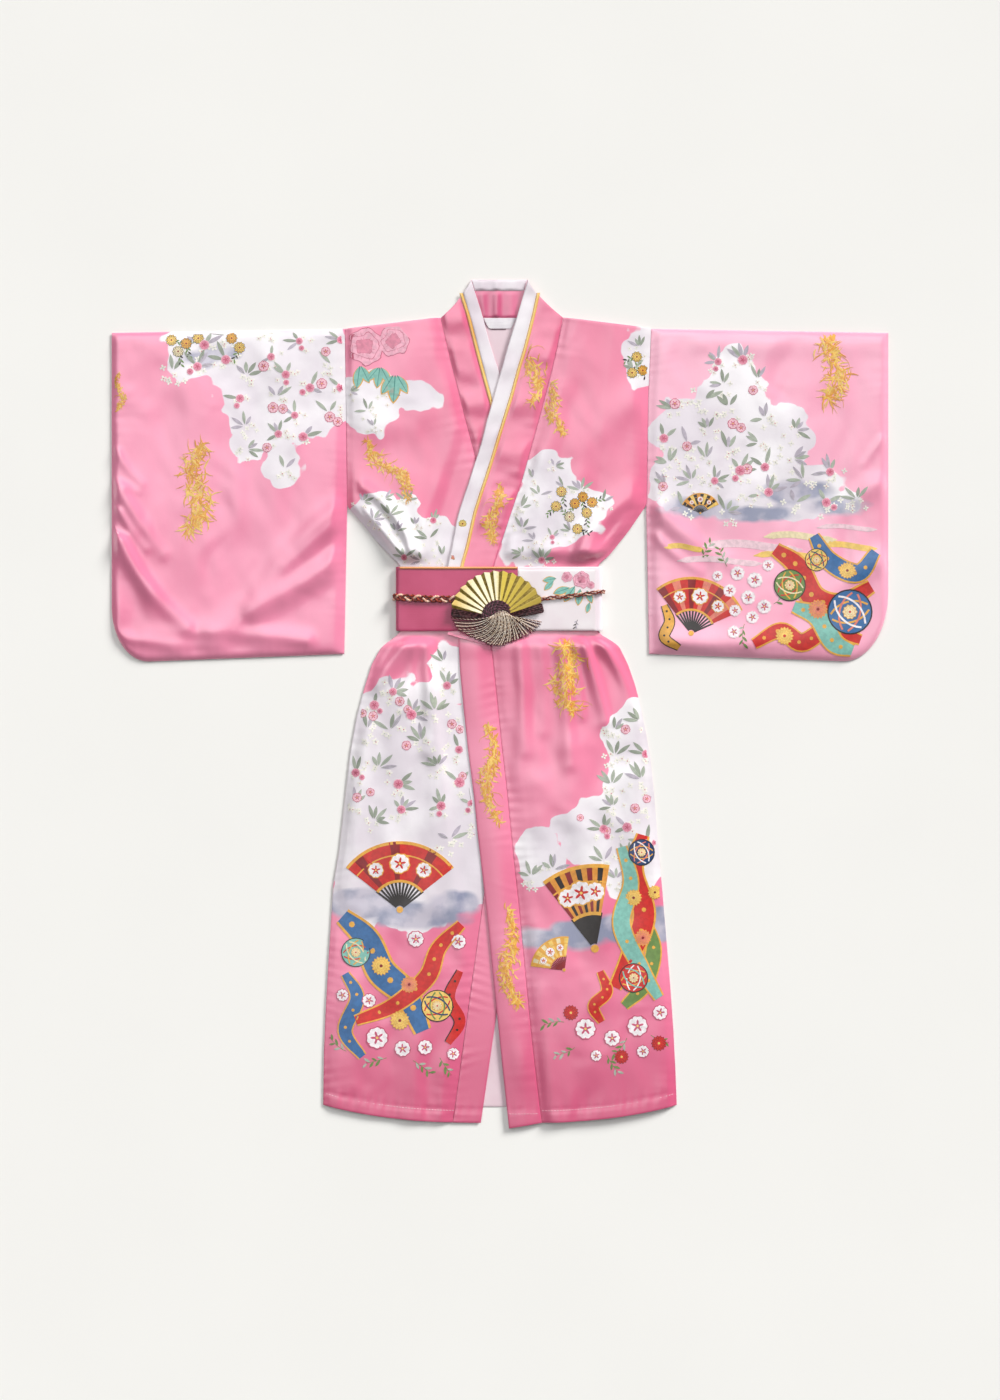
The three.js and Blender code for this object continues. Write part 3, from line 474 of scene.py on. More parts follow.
def make_object(name, vertices, faces, looks, slots=None, angle=50):
    """A smooth mesh in metres, with hard edges where its faces meet at more than the angle."""
    mesh = bpy.data.meshes.new(name)
    mesh.from_pydata((np.asarray(vertices, float) * MM).tolist(), [], faces)
    for look in looks:
        mesh.materials.append(look)
    if slots is not None:
        mesh.polygons.foreach_set("material_index", np.asarray(slots, np.int32))
    mesh.polygons.foreach_set("use_smooth", np.full(len(mesh.polygons), True))
    mesh.set_sharp_from_angle(angle=math.radians(angle))
    mesh.update()
    made = bpy.data.objects.new(name, mesh)
    bpy.context.scene.collection.objects.link(made)
    return made


def finish_piece(made, slot, *nodes):
    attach(made, "root")
    if nodes:
        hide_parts(*nodes)
    return made


def grid_faces(rows, columns, start=0, flip=False):
    j, i = np.meshgrid(np.arange(rows - 1), np.arange(columns - 1), indexing="ij")
    a = start + (j * columns + i).ravel()
    quads = np.stack([a, a + 1, a + 1 + columns, a + columns], axis=1)
    return quads[:, ::-1] if flip else quads


def shell(name, x, y, top, bottom, looks, angle=50):
    """A closed sheet between two heights over one grid. Rows run with +y and columns with +x."""
    rows, columns = x.shape
    bottom = np.broadcast_to(bottom, x.shape)
    upper = np.stack([x, y, top], axis=-1).reshape(-1, 3)
    lower = np.stack([x, y, bottom], axis=-1).reshape(-1, 3)
    count = rows * columns
    ring = np.concatenate([
        np.arange(columns), columns - 1 + columns * np.arange(1, rows),
        count - 2 - np.arange(columns - 1), columns * np.arange(rows - 2, 0, -1)])
    after = np.roll(ring, -1)
    walls = np.stack([ring, ring + count, after + count, after], axis=1)
    quads = [grid_faces(rows, columns), grid_faces(rows, columns, count, flip=True), walls]
    slots = np.concatenate([np.full(len(q), s) for q, s in zip(quads, (0, 1, 0))])
    return make_object(
        name, np.concatenate([upper, lower]), np.concatenate(quads).tolist(), looks, slots, angle=angle)


def edge_drop(distance):
    """How far the cloth's face falls away beside its edge."""
    return 0.6 * np.exp(-np.maximum(distance, 0) / 0.9)


def spread(total, spacing=GRID):
    """Distances across a width, closer together at both ends."""
    inner = EDGE_STEPS[-1]
    middle = np.linspace(inner, total - inner, max(3, int((total - 2 * inner) / spacing) + 2))
    return np.concatenate([EDGE_STEPS[:-1], middle, [total - s for s in reversed(EDGE_STEPS[:-1])]])


def add_print_fields(made, node):
    """The distances to the print's clouds and hills, kept on the mesh's points for its material."""
    points = np.empty(len(made.data.vertices) * 3)
    made.data.vertices.foreach_get("co", points)
    x, y = points[0::3] / MM, points[1::3] / MM
    set_floats(made.data, "cloud", field(CLOUDS.get(node, []), x, y, 5))
    set_floats(made.data, "hill", field(HILLS.get(node, []), x, y, 8, rough=4.0))


def body_panel(node, low, high, rows, drops, top, looks, slot, spacing=GRID):
    """A panel of the body on a fine grid, with the height of its upper face from top(x, y).

    Its hem sags by drops, from the side with the lower x to the other.
    """
    widest = float(np.max(high(rows) - low(rows)))
    shares = spread(widest, spacing) / widest
    row, share = np.meshgrid(rows, shares, indexing="ij")
    rough = lerp(low(row), high(row), share)
    sag = towards_hem(row) * lerp(*drops, share) * hem_shape(rough)
    y = row + towards_top(row) * shoulder_rise(rough) - sag
    x = lerp(low(y), high(y), share)
    across = (high(y) - low(y)) * np.minimum(share, 1 - share)
    ends = np.minimum(row - rows[0], rows[-1] - row)
    face = top(x, y)
    rounded = np.minimum(edge_drop(across) + edge_drop(ends), 0.8)
    made = shell(node + "_cloth", x, y, face - rounded, face - CLOTH, looks)
    add_print_fields(made, node)
    return finish_piece(made, slot, node)


# Materials

def colour(text):
    """A hex colour as linear light."""
    parts = [int(text[i:i + 2], 16) / 255 for i in (0, 2, 4)]
    return tuple(c / 12.92 if c <= 0.04045 else ((c + 0.055) / 1.055) ** 2.4 for c in parts) + (1.0,)


class Look:
    """A node material in the making."""

    def __init__(self, name, **shader):
        self.material = bpy.data.materials.new(name)
        self.material.use_nodes = True
        self.tree = self.material.node_tree
        self.shader = self.tree.nodes["Principled BSDF"]
        self.place = self.add("ShaderNodeTexCoord").outputs["Object"]
        for socket, value in shader.items():
            self.shader.inputs[socket.replace("_", " ")].default_value = value

    def add(self, kind, inputs=None, **settings):
        made = self.tree.nodes.new(kind)
        for key, value in settings.items():
            setattr(made, key, value)
        for key, value in (inputs or {}).items():
            if isinstance(value, bpy.types.NodeSocket):
                self.tree.links.new(value, made.inputs[key])
            else:
                made.inputs[key].default_value = value
        return made

    def noise(self, scale, detail=3.0, stretch=None):
        place = self.place
        if stretch:
            place = self.add("ShaderNodeMapping", {"Vector": place, "Scale": stretch}).outputs[0]
        inputs = {"Vector": place, "Scale": scale, "Detail": detail}
        return self.add("ShaderNodeTexNoise", inputs).outputs["Fac"]

    def field(self, name, soft=0.8):
        """1 inside a stored outline, 0 outside it, with an edge that many millimetres soft."""
        value = self.add("ShaderNodeAttribute", attribute_name=name).outputs["Fac"]
        return self.range(value, soft, -soft)

    def range(self, value, low, high, to_low=0.0, to_high=1.0):
        inputs = {"Value": value, "From Min": low, "From Max": high, "To Min": to_low, "To Max": to_high}
        return self.add("ShaderNodeMapRange", inputs).outputs[0]

    def mix(self, share, *colours):
        """Two colours mixed by a share. A colour is a socket, linear light or hex text."""
        a, b = (colour(value) if isinstance(value, str) else value for value in colours)
        return self.add("ShaderNodeMix", {0: share, 6: a, 7: b}, data_type="RGBA").outputs[2]

    def mottled(self, scale, detail, deep, light, low=0.35, high=0.65):
        """Two colours mixed by noise."""
        return self.mix(self.range(self.noise(scale, detail), low, high), deep, light)

    def base(self, value):
        self.tree.links.new(value, self.shader.inputs["Base Color"])
        return self

    def bump(self, *layers):
        """Bumps on top of each other, each a (height, strength, distance in metres)."""
        normal = None
        for height, strength, distance in layers:
            inputs = {"Height": height, "Strength": strength, "Distance": distance}
            if normal:
                inputs["Normal"] = normal
            normal = self.add("ShaderNodeBump", inputs).outputs[0]
        self.tree.links.new(normal, self.shader.inputs["Normal"])
        return self

    def weave(self, pitch=0.0005):
        """Crossed threads of a satin weave, with floats that are longer one way."""
        bands = []
        for axis, density in (("X", 0.314), ("Y", 0.0785)):
            inputs = {"Vector": self.place, "Scale": density / pitch, "Distortion": 0.6}
            bands.append(self.add("ShaderNodeTexWave", inputs, bands_direction=axis).outputs["Fac"])
        return self.add("ShaderNodeMath", dict(enumerate(bands)), operation="ADD").outputs[0]


SATIN = dict(Roughness=0.3, IOR=2.25, Anisotropic=0.25)
INK = dict(Roughness=0.4, IOR=1.75)


def satin_bump(look, creased=0.35):
    small = look.noise(26, 4, stretch=(1.0, 0.42, 1.0))
    return look.bump((small, creased, 0.0016), (look.weave(), 0.05, 0.0001))


def printed_satin(name, light, deep):
    """Satin with the print's pale clouds and hills, and a deeper shade towards the hem."""
    look = Look(name, **SATIN)
    height = look.add("ShaderNodeSeparateXYZ", {0: look.place}).outputs["Y"]
    ground = look.mottled(5, 2, deep, light)
    ground = look.mix(look.range(height, -0.40, -0.56), ground, "DA5A82")
    pearl = look.mottled(9, 4, "E4DAE2", "F9F4F7", 0.42, 0.62)
    printed = look.mix(look.field("cloud"), ground, pearl)
    slate = look.mottled(22, 5, "8C90AA", "CBC4D2", 0.4, 0.6)
    printed = look.mix(look.field("hill", soft=3.5), printed, slate)
    return satin_bump(look.base(printed)).material


def plain_satin(name, light, deep, **changes):
    look = Look(name, **{**SATIN, **changes})
    look.base(look.mottled(14, 3, deep, light))
    return satin_bump(look, 0.25).material


def woven(name, light, deep, roughness=0.7, pitch=0.0012):
    look = Look(name, Roughness=roughness, Sheen_Weight=0.2)
    look.base(look.mottled(40, 4, deep, light))
    return look.bump((look.weave(pitch), 0.3, 0.0003), (look.noise(60, 3), 0.15, 0.0006)).material


def ink(name, shade):
    """A printed colour: it keeps the satin's gloss under it."""
    look = Look("print_" + name, **INK)
    dark = tuple(c * 0.84 for c in colour(shade)[:3]) + (1.0,)
    look.base(look.mottled(160, 3, dark, shade, 0.4, 0.6))
    return satin_bump(look, 0.25).material


INKS = dict(
    rose="CB5877", petal="F7C4D0", carnation="E68CA5", bloom="F8B4C8", ivory="F9F5EA", stem="98A090",
    amber="E3973A", white="FBF4F6", blush="F6D3DC", leaf="B0B8A8", sage="C8CDC2", mist="BFB5C2",
    gold="EDAE45", sun="F7CE6C", teal="86C4B6", deep_teal="3F8F86", blue="3B6FA6", navy="25406F",
    red="D22A24", wine="8E1F24", green="6F8F4A", black="2B2422", cream="F4E3B8", coral="E8836F")
BELT_WHITE_FROM = (0.0264, 0.0268)


def belt_cloth():
    """Deep pink twill that ends under the printed panel, where the belt's white half begins."""
    look = Look("belt_cloth", Roughness=0.42, IOR=1.7)
    across = look.add("ShaderNodeSeparateXYZ", {0: look.place}).outputs["X"]
    pink = look.mottled(14, 3, "BA4067", "C74E75")
    pale = look.mottled(14, 3, "EFDCE4", "F8EDF2")
    look.base(look.mix(look.range(across, *BELT_WHITE_FROM), pink, pale))
    return look.bump((look.weave(0.0009), 0.12, 0.0002), (look.noise(30, 3), 0.1, 0.0008)).material


satin = printed_satin("satin_print", "F98AAC", "EC7297")
# Both sleeves' satin is lighter than the body's, and the left one lighter still: painted sheen.
sleeve_satin_painted_sheen = dict(right=printed_satin("satin_sleeve_right_painted_sheen", "FC96B7", "EE7DA2"),
                    left=printed_satin("satin_sleeve_left_painted_sheen", "FFB4CD", "FBA0BD"))
satin_plain = plain_satin("satin_pink", "F47DA1", "E4658B")
satin_neck = plain_satin("satin_neck", "F0709B", "D65A84")
satin_reverse = plain_satin("satin_reverse", "EAD3DA", "E2C6CF", Roughness=0.5, IOR=1.5)
collar_white = plain_satin("collar_white", "F2ECF0", "DDCFD8")
piping_yellow = plain_satin("piping_yellow", "F3CC68", "E8AC45")
piping_orange = plain_satin("piping_orange", "EFA95C", "DF8C3F")
belt_twill = belt_cloth()
label_tape = woven("label_tape", "F4F0F3", "E6DFE6", 0.75, 0.0006)
# Dark material for the tube along the back facing's fold: a painted shadow line.
facing_edge_painted_shadow = woven("facing_edge_painted_shadow", "7A5A66", "5C3F4C", 0.6, 0.0002)
belt_satin = plain_satin("belt_satin", "F0E9EA", "E9DADF")
inks = {name: ink(name, shade) for name, shade in INKS.items()}


# Printed motifs

PRINT_LIFT = 0.28               # how far the lowest layer of the print lies over the cloth
LAYER = 0.06                    # how far each further layer lies over the one before
SINK = 0.35                     # how far a plate's underside lies below its face
RING = 5.5                      # greatest distance between the rings of points in a plate
LANE = 4.5                      # and between the rows of points across a stroke
PETALS = 5


def finer(outline, step=6.0):
    """The same outline with more points on its long edges, so that a plate follows the cloth."""
    points = []
    for a, b in zip(outline, np.roll(outline, -1, axis=0)):
        parts = math.ceil(max(float(np.hypot(*(b - a))), 0.01) / step)
        points += [lerp(a, b, k / parts) for k in range(parts)]
    return np.array(points)


class Print:
    """Motifs printed on one panel: closed plates as thin as ink, laid on the panel's upper face."""

    def __init__(self, name, top, inside):
        self.name, self.top, self.inside = name, top, inside
        self.flats, self.lifts, self.faces, self.slots, self.colours = [], [], [], [], []
        self.count = 0

    def colour_slot(self, name):
        if name not in self.colours:
            self.colours.append(name)
        return self.colours.index(name)

    def keep(self, flat, lift, faces, shade):
        self.flats.append(flat)
        self.lifts.append(lift)
        self.faces.extend([[i + self.count for i in face] for face in faces])
        self.slots.extend([self.colour_slot(shade)] * len(faces))
        self.count += len(flat)

    def plate(self, outline, shade, layer=0, centre=None):
        """A plate with a star-shaped outline, in rings round its centre."""
        outline = finer(np.asarray(outline, float))
        if not bool(np.all(self.inside(outline[:, 0], outline[:, 1]))):
            return
        centre = outline.mean(axis=0) if centre is None else np.asarray(centre, float)
        reach = float(np.max(np.hypot(*(outline - centre).T)))
        rings = max(1, math.ceil(reach / RING))
        n = len(outline)
        flat = [centre[None, :]] + [lerp(centre, outline, k / rings) for k in range(1, rings + 1)] + [outline]
        flat.append(centre[None, :])
        flat = np.concatenate(flat)
        lift = np.full(len(flat), PRINT_LIFT + LAYER * layer)
        lift[1 + rings * n:] -= SINK
        faces = [[0, 1 + i, 1 + (i + 1) % n] for i in range(n)]
        for k in range(rings):
            a, b = 1 + k * n, 1 + (k + 1) * n
            faces += [[a + i, b + i, b + (i + 1) % n, a + (i + 1) % n] for i in range(n)]
        last = 1 + rings * n
        faces += [[last + n, last + (i + 1) % n, last + i] for i in range(n)]
        ahead = np.roll(outline, -1, axis=0)
        if np.sum(outline[:, 0] * ahead[:, 1] - ahead[:, 0] * outline[:, 1]) < 0:
            faces = [face[::-1] for face in faces]
        self.keep(flat, lift, faces, shade)

    def strip(self, line, widths, shade, layer=0):
        """A stroke of varying width along a line of points."""
        line = np.asarray(line, float)
        if not bool(np.all(self.inside(line[:, 0], line[:, 1]))):
            return
        along = np.gradient(line, axis=0)
        along /= np.maximum(np.hypot(*along.T)[:, None], 1e-6)
        widths = np.broadcast_to(widths, len(line))
        out = np.column_stack([-along[:, 1], along[:, 0]]) * (widths[:, None] / 2)
        lanes = 1 + math.ceil(float(np.max(widths)) / LANE)
        n = len(line)
        across = np.linspace(-1, 1, lanes)[:, None, None]
        upper = (line[None] + out[None] * across).reshape(-1, 2)
        flat = np.concatenate([upper, line - out, line + out])
        lift = np.full(len(flat), PRINT_LIFT + LAYER * layer)
        lift[lanes * n:] -= SINK
        left, low_right, low_left = (lanes - 1) * n, lanes * n, (lanes + 1) * n
        faces = []
        for i in range(n - 1):
            for k in range(lanes - 1):
                faces.append([k * n + i, k * n + i + 1, (k + 1) * n + i + 1, (k + 1) * n + i])
            faces.append([low_left + i, low_left + i + 1, low_right + i + 1, low_right + i])
            faces.append([low_right + i, low_right + i + 1, i + 1, i])
            faces.append([left + i, left + i + 1, low_left + i + 1, low_left + i])
        edge_lanes = [k * n for k in range(lanes)]
        faces.append(edge_lanes + [low_left, low_right])
        faces.append([k + n - 1 for k in reversed(edge_lanes)] + [low_right + n - 1, low_left + n - 1])
        self.keep(flat, lift, faces, shade)

    def build(self, slot="satin"):
        flat = np.concatenate(self.flats)
        height = self.top(flat[:, 0], flat[:, 1]) + np.concatenate(self.lifts)
        points = np.column_stack([flat, height])
        looks = [inks[name] for name in self.colours]
        made = make_object(self.name, points, self.faces, looks, self.slots, angle=40)
        return finish_piece(made, slot)


def turned(points, x, y, degrees):
    a = math.radians(degrees)
    spin = np.array([[math.cos(a), -math.sin(a)], [math.sin(a), math.cos(a)]])
    return np.asarray(points, float) @ spin.T + (x, y)


def circle(steps):
    """Angles all round, in radians."""
    return np.linspace(0, 2 * math.pi, steps, endpoint=False)


def direction(degrees):
    a = math.radians(degrees)
    return np.array([math.cos(a), math.sin(a)])


def arc(x, y, r, angles):
    return np.column_stack([r * np.cos(angles) + x, r * np.sin(angles) + y])


def disc(p, x, y, r, shade, layer, sides):
    p.plate(arc(x, y, r, circle(sides)), shade, layer, (x, y))


def petal(p, x, y, length, width, turn, shade, layer, blunt, steps, notch=0.0):
    """A petal from its foot at x, y, wider towards its tip by blunt, with a notch in the tip."""
    a = circle(steps)
    along = (0.5 - 0.5 * np.cos(a)) * (1 - notch * np.exp(-(((a - math.pi) / 0.5) ** 2)))
    across = width / 2 * np.sin(a) * (1 - blunt + 2 * blunt * along)
    p.plate(turned(np.column_stack([length * along, across]), x, y, turn), shade, layer)


def leaf(p, x, y, length, width, turn, shade, layer=0, vein=None):
    s = np.linspace(0, 1, max(5, int(length / 3) + 2))
    half = width / 2 * np.sin(math.pi * s) ** 0.8
    lower = np.column_stack([length * s, -half])
    upper = np.column_stack([length * s, half])
    p.plate(turned(np.concatenate([lower, upper[-2:0:-1]]), x, y, turn), shade, layer)
    if vein:
        rib = turned(np.column_stack([length * s, np.zeros(len(s))]), x, y, turn)
        p.strip(rib, 0.12 * width * (1 - 0.6 * s), vein, layer + 1)


def curve(points, steps=8):
    """A smooth line through points."""
    points = [np.array(q, float) for q in points]
    padded = [2 * points[0] - points[1]] + points + [2 * points[-1] - points[-2]]
    line = []
    for a, b, c, d in zip(padded, padded[1:], padded[2:], padded[3:]):
        for t in np.linspace(0, 1, steps, endpoint=False):
            line.append(0.5 * (2 * b + (c - a) * t + (2 * a - 5 * b + 4 * c - d) * t ** 2
                               + (3 * b - a - 3 * c + d) * t ** 3))
    return np.array(line + [points[-1]])


def blossom(p, x, y, r, turn, shade="petal", rim="rose", heart="rose", eye="sun", layer=2):
    """A flat blossom with notched petals, each with a rim and a fine stroke along it."""
    steps = 12 if r > 11 else 8
    for k in range(PETALS):
        angle = turn + 360 * k / PETALS
        width = 2 * math.pi * r / PETALS * 0.8
        petal(p, x, y, r, width, angle, rim, layer, 0.35, steps, 0.16)
        petal(p, x, y, r * 0.9, width * 0.8, angle, shade, layer + 1, 0.35, steps, 0.16)
        petal(p, x, y, r * 0.55, width * 0.2, angle, heart, layer + 2, 0.0, 6)
    disc(p, x, y, r * 0.2, heart, layer + 3, 8)
    disc(p, x, y, r * 0.11, eye, layer + 4, 6)


def sprig(p, x, y, length, turn, rng, shade, soft, bud=True):
    """A drooping stem with small leaves on both sides, and a bud at its tip where one is wanted."""
    bend = rng.uniform(-0.35, 0.35)
    s = np.linspace(0, 1, 7)
    stem = turned(np.column_stack([length * s, length * bend * s * s]), x, y, turn)
    p.strip(stem, lerp(0.8, 0.4, s), shade)
    for k, (px, py) in enumerate(stem[1:]):
        side = 1 if k % 2 else -1
        tilt = turn + math.degrees(bend * 1.6 * s[k + 1]) + side * rng.uniform(30, 52)
        size = length * rng.uniform(0.3, 0.42)
        leaf(p, px, py, size, size * 0.34, tilt, shade if rng.random() < 0.6 else soft, 1)
    if bud:
        disc(p, stem[-1][0], stem[-1][1], 1.5, "rose", 1, 7)


PINK_BLOSSOM = dict(shade="carnation", rim="petal", heart="rose", eye="rose", layer=3)


def posy(p, x, y, size, turn, rng, flower):
    """A fan of pointed leaves over a cluster of small pale flowers, some with pink blossoms."""
    for spread_by in (-62, -30, 0, 27, 58):
        if rng.random() < 0.72:
            angle = turn + spread_by + rng.uniform(-9, 9)
            foot = (x, y) + 0.12 * size * direction(angle)
            length = size * rng.uniform(0.5, 0.85)
            shade = rng.choice(("leaf", "leaf", "mist", "stem"))
            vein = "stem" if rng.random() < 0.4 else None
            leaf(p, *foot, length, size * 0.19, angle, shade, 1, vein)
    for _ in range(rng.randint(4, 7)):
        a = math.radians(turn + 180 + rng.uniform(-95, 95))
        d = size * rng.uniform(0.15, 0.75)
        cx, cy = x + d * math.cos(a), y + d * math.sin(a)
        start = rng.uniform(0, 90)
        for k in range(4):
            petal(p, cx, cy, size * 0.16, size * 0.1, start + 90 * k, "ivory", 0, 0.3, 5)
        disc(p, cx, cy, size * 0.03, rng.choice(("sage", "rose", "sage")), 1, 6)
    if flower:
        blossom(p, x, y, size * rng.uniform(0.22, 0.3), rng.uniform(0, 72), **PINK_BLOSSOM)
        if rng.random() < 0.3:
            a = math.radians(turn + rng.uniform(120, 240))
            blossom(p, x + 0.42 * size * math.cos(a), y + 0.42 * size * math.sin(a), size * 0.18,
                    rng.uniform(0, 72), **PINK_BLOSSOM)


def gold_spray(p, x, y, length, width, turn, rng):
    """A feathery spray: many small curling strokes round a bent spine, and a few long tendrils."""
    bow = rng.choice((-1, 1)) * rng.uniform(0.10, 0.18) * length
    for _ in range(int(length * 2.2)):
        s = rng.random()
        drift = bow * math.sin(2.2 * math.pi * s) * 0.6
        drift += rng.gauss(0, 0.17) * width * math.sin(math.pi * (0.1 + 0.8 * s))
        foot = turned([[length * (s - 0.5), drift]], x, y, turn)[0]
        heading = turn + rng.choice((-1, 1)) * rng.uniform(8, 62) + (180 if rng.random() < 0.3 else 0)
        reach = rng.uniform(0.16, 0.34) * width
        curl = rng.uniform(-0.9, 0.9)
        t = np.linspace(0, 1, 4)
        stroke = turned(np.column_stack([reach * t, reach * curl * t * t]), *foot, heading)
        thick = rng.uniform(1.2, 2.6)
        shade = rng.choice(("gold", "gold", "sun", "sun", "amber"))
        p.strip(stroke, thick * np.array([0.5, 1.0, 0.9, 0.2]), shade, 1 + rng.randint(0, 3))
    for _ in range(7):
        s = rng.uniform(0.05, 0.95)
        foot = turned([[length * (s - 0.5), 0]], x, y, turn)[0]
        heading = turn + rng.choice((-1, 1)) * rng.uniform(20, 75)
        t = np.linspace(0, 1, 9)
        reach = width * rng.uniform(0.45, 0.62)
        sway = reach * rng.uniform(-0.5, 0.5) * np.sin(2.4 * t)
        tendril = turned(np.column_stack([reach * t, sway]), *foot, heading)
        p.strip(tendril, lerp(1.1, 0.3, t), "gold", 1)


POSIES = {
    "front_right": joined(
        (-150, 12, 62, 34), (-86, 30, 34, 50), (-200, -46, 46, 46), (-92, -40, 34, 50),
        (-190, -104, 52, 34), (-62, -130, 26, 84), (-196, -160, 50, 22)),
    "front_left": joined(
        (190, -40, 40, 46), (182, -120, 44, 50), (176, -210, 34, 60), (212, -180, 30, 60),
        (60, -250, 20, 10)),
}


CLOUD_MARGIN = -6.0             # posies stay this far inside the clouds


def scatter(p, ovals, seed, count, gap=25.0, blossoms=0.5, size=(18, 26), clouds=None):
    """Posies strewn over some ovals where they lie on the print's clouds, apart from each other."""
    rng = random.Random(seed)
    taken = []
    left, right = min(o.x - o.rx for o in ovals), max(o.x + o.rx for o in ovals)
    low, high = min(o.y - o.ry for o in ovals), max(o.y + o.ry for o in ovals)
    for _ in range(count * 40):
        x, y = rng.uniform(left, right), rng.uniform(low, high)
        here = (np.array([x]), np.array([y]))
        off_cloud = field(clouds or ovals, *here, 5)[0] > CLOUD_MARGIN or field(ovals, *here, 5)[0] > 0
        if off_cloud or not p.inside(*here)[0]:
            continue
        if any(math.hypot(x - a, y - b) < gap for a, b in taken):
            continue
        taken.append((x, y))
        posy(p, x, y, rng.uniform(*size), 90 + rng.uniform(-60, 60), rng, rng.random() < blossoms)
        if len(taken) >= count:
            return


def chrysanthemum(p, x, y, r, shade, rim, heart, petals=16, layer=3):
    """Three rings of narrow petals with rims, round a heart."""
    for ring, (reach, turn) in enumerate(((1.0, 0.0), (0.74, 0.5), (0.48, 0.0))):
        n = max(8, petals - 3 * ring)
        for k in range(n):
            angle = 360 * (k + turn) / n
            width = 2 * math.pi * r * reach / n
            over = layer + 2 * ring
            petal(p, x, y, r * reach, width * 1.05, angle, rim, over, 0.3, 6)
            petal(p, x, y, r * reach * 0.93, width * 0.72, angle, shade, over + 1, 0.3, 6)
    disc(p, x, y, r * 0.16, heart, layer + 7, 10)


def open_fan(p, x, y, r, turn, spread_deg, shades, ribs="black"):
    """An open folding fan: bare ribs near the pivot and a leaf of coloured folds."""
    folds = 12
    inner = 0.42 * r
    start = turn - spread_deg / 2
    step = spread_deg / folds
    for k in range(folds + 1):
        a = math.radians(start + k * step)
        tip = np.array([math.cos(a), math.sin(a)])
        line = [np.array([x, y]) + tip * d for d in np.linspace(r * 0.06, inner * 1.04, 5)]
        p.strip(line, r * 0.03, ribs, 3)
    for k in range(folds):
        a = np.radians(np.linspace(start + k * step, start + (k + 1) * step, 4))
        outline = np.concatenate([arc(x, y, r, a), arc(x, y, inner, a)[::-1]])
        p.plate(outline, shades[k % len(shades)], 4)
    for d, wide in ((r * 0.985, r * 0.045), (inner, r * 0.04), (r * 0.8, r * 0.02)):
        p.strip(arc(x, y, d, np.radians(np.linspace(start, start + spread_deg, 24))), wide, "gold", 5)
    disc(p, x, y, r * 0.05, "gold", 5, 8)
    for share, size in ((0.2, 0.13), (0.5, 0.17), (0.8, 0.13)):
        a = math.radians(start + share * spread_deg)
        blossom(p, x + 0.68 * r * math.cos(a), y + 0.68 * r * math.sin(a), size * r, 20 * share,
                shade="white", rim="gold", heart="red", layer=6)


def temari(p, x, y, r, ground, bands, turn, layer):
    """A thread ball: crossing bands over a round ground with a dark outline."""
    disc(p, x, y, r, ground, layer, 22)
    p.strip(arc(x, y, 0.97 * r, np.linspace(0, 2 * math.pi, 29)), r * 0.06, "black", layer + 2)
    for k, shade in enumerate(bands):
        for side in (-1, 1):
            a = np.linspace(-1, 1, 9)
            bow = side * 0.34 * r * (1 - a * a)
            reach = 0.9 * r * np.sqrt(1 - 0.12 * a * a)
            line = turned(np.column_stack([a * reach, bow + side * 0.12 * r]), x, y, turn + 60 * k)
            p.strip(line, r * 0.085, shade, layer + 3 + k)
    chrysanthemum(p, x, y, r * 0.34, "cream", "gold", "red", 10, layer + 7)


def ribbon(p, points, width, shade, rim, layer):
    """A flowing ribbon with narrow edges of another colour and a row of dots."""
    line = curve(points)
    s = np.linspace(0, 1, len(line))
    wide = width * (0.55 + 0.45 * np.sin(math.pi * s))
    along = np.gradient(line, axis=0)
    along /= np.hypot(*along.T)[:, None]
    half = 0.52 * wide[:, None] * np.column_stack([-along[:, 1], along[:, 0]])
    p.strip(line, wide, shade, layer)
    for border in (line - half, line + half):
        p.strip(border, width * 0.09, rim, layer + 1)
    for x, y in line[3:-3:4]:
        disc(p, x, y, width * 0.11, rim, layer + 1, 7)


def peony(p, x, y, r, turn=0.0):
    """A full peony: rings of ruffled petals with fine outlines."""
    rings = ((6, 1.0, "bloom"), (5, 0.7, "bloom"), (4, 0.42, "carnation"))
    for ring, (n, reach, fill) in enumerate(rings):
        for k in range(n):
            angle = turn + 360 * (k + 0.5 * ring) / n + 9 * math.sin(5 * k + ring)
            long = r * reach * (1 + 0.12 * math.sin(3 * k + 2 * ring))
            width = 2 * math.pi * r * reach / n * 0.95
            petal(p, x, y, long, width, angle, "rose", 1 + 2 * ring, 0.45, 16, 0.14)
            petal(p, x, y, long * 0.965, width * 0.93, angle, fill, 2 + 2 * ring, 0.45, 16, 0.14)
            for vein in (-9, 9):
                petal(p, x, y, long * 0.8, width * 0.05, angle + vein, "carnation", 3 + 2 * ring, 0.0, 6)


def teal_leaf(p, x, y, length, turn):
    leaf(p, x, y, length * 1.06, length * 0.5, turn, "gold")
    leaf(p, x, y, length, length * 0.41, turn, "teal", 1, vein="deep_teal")


def mist_bar(p, x, y, length, height, shade):
    """A bar of drifting mist with rounded ends."""
    s = np.linspace(0, 1, max(6, int(length / 6)))
    line = np.column_stack([x + length * (s - 0.5), y + 0.4 * height * np.sin(5 * s)])
    p.strip(line, height * np.clip(np.sin(math.pi * s) * 3, 0.15, 1), shade)


def between(low, high, y_low, y_high, margin=PRINT_MARGIN):
    """A test for points between two side edges and two heights."""
    def test(x, y):
        return (x > low(y) + margin) & (x < high(y) - margin) & (y > y_low) & (y < y_high)
    return test


def left_cover(y):
    """The edge of the left front, up to the neck."""
    return np.where(y < CROSS_Y, left_front_edge(y), left_collar_inner(y))


right_front_seen = between(right_side, lambda y: np.minimum(right_seam(y), left_cover(y)), *PRINT_HEIGHTS)
left_front_seen = between(left_seam, left_side, *PRINT_HEIGHTS)
left_collar_seen = between(lambda y: left_collar_piping(y) + 5, left_seam, 214, 560)
left_overlap_seen = between(left_front_edge, left_seam, -600, 96, margin=2.5)


def peonies(p, rows):
    for row in rows:
        peony(p, *row)


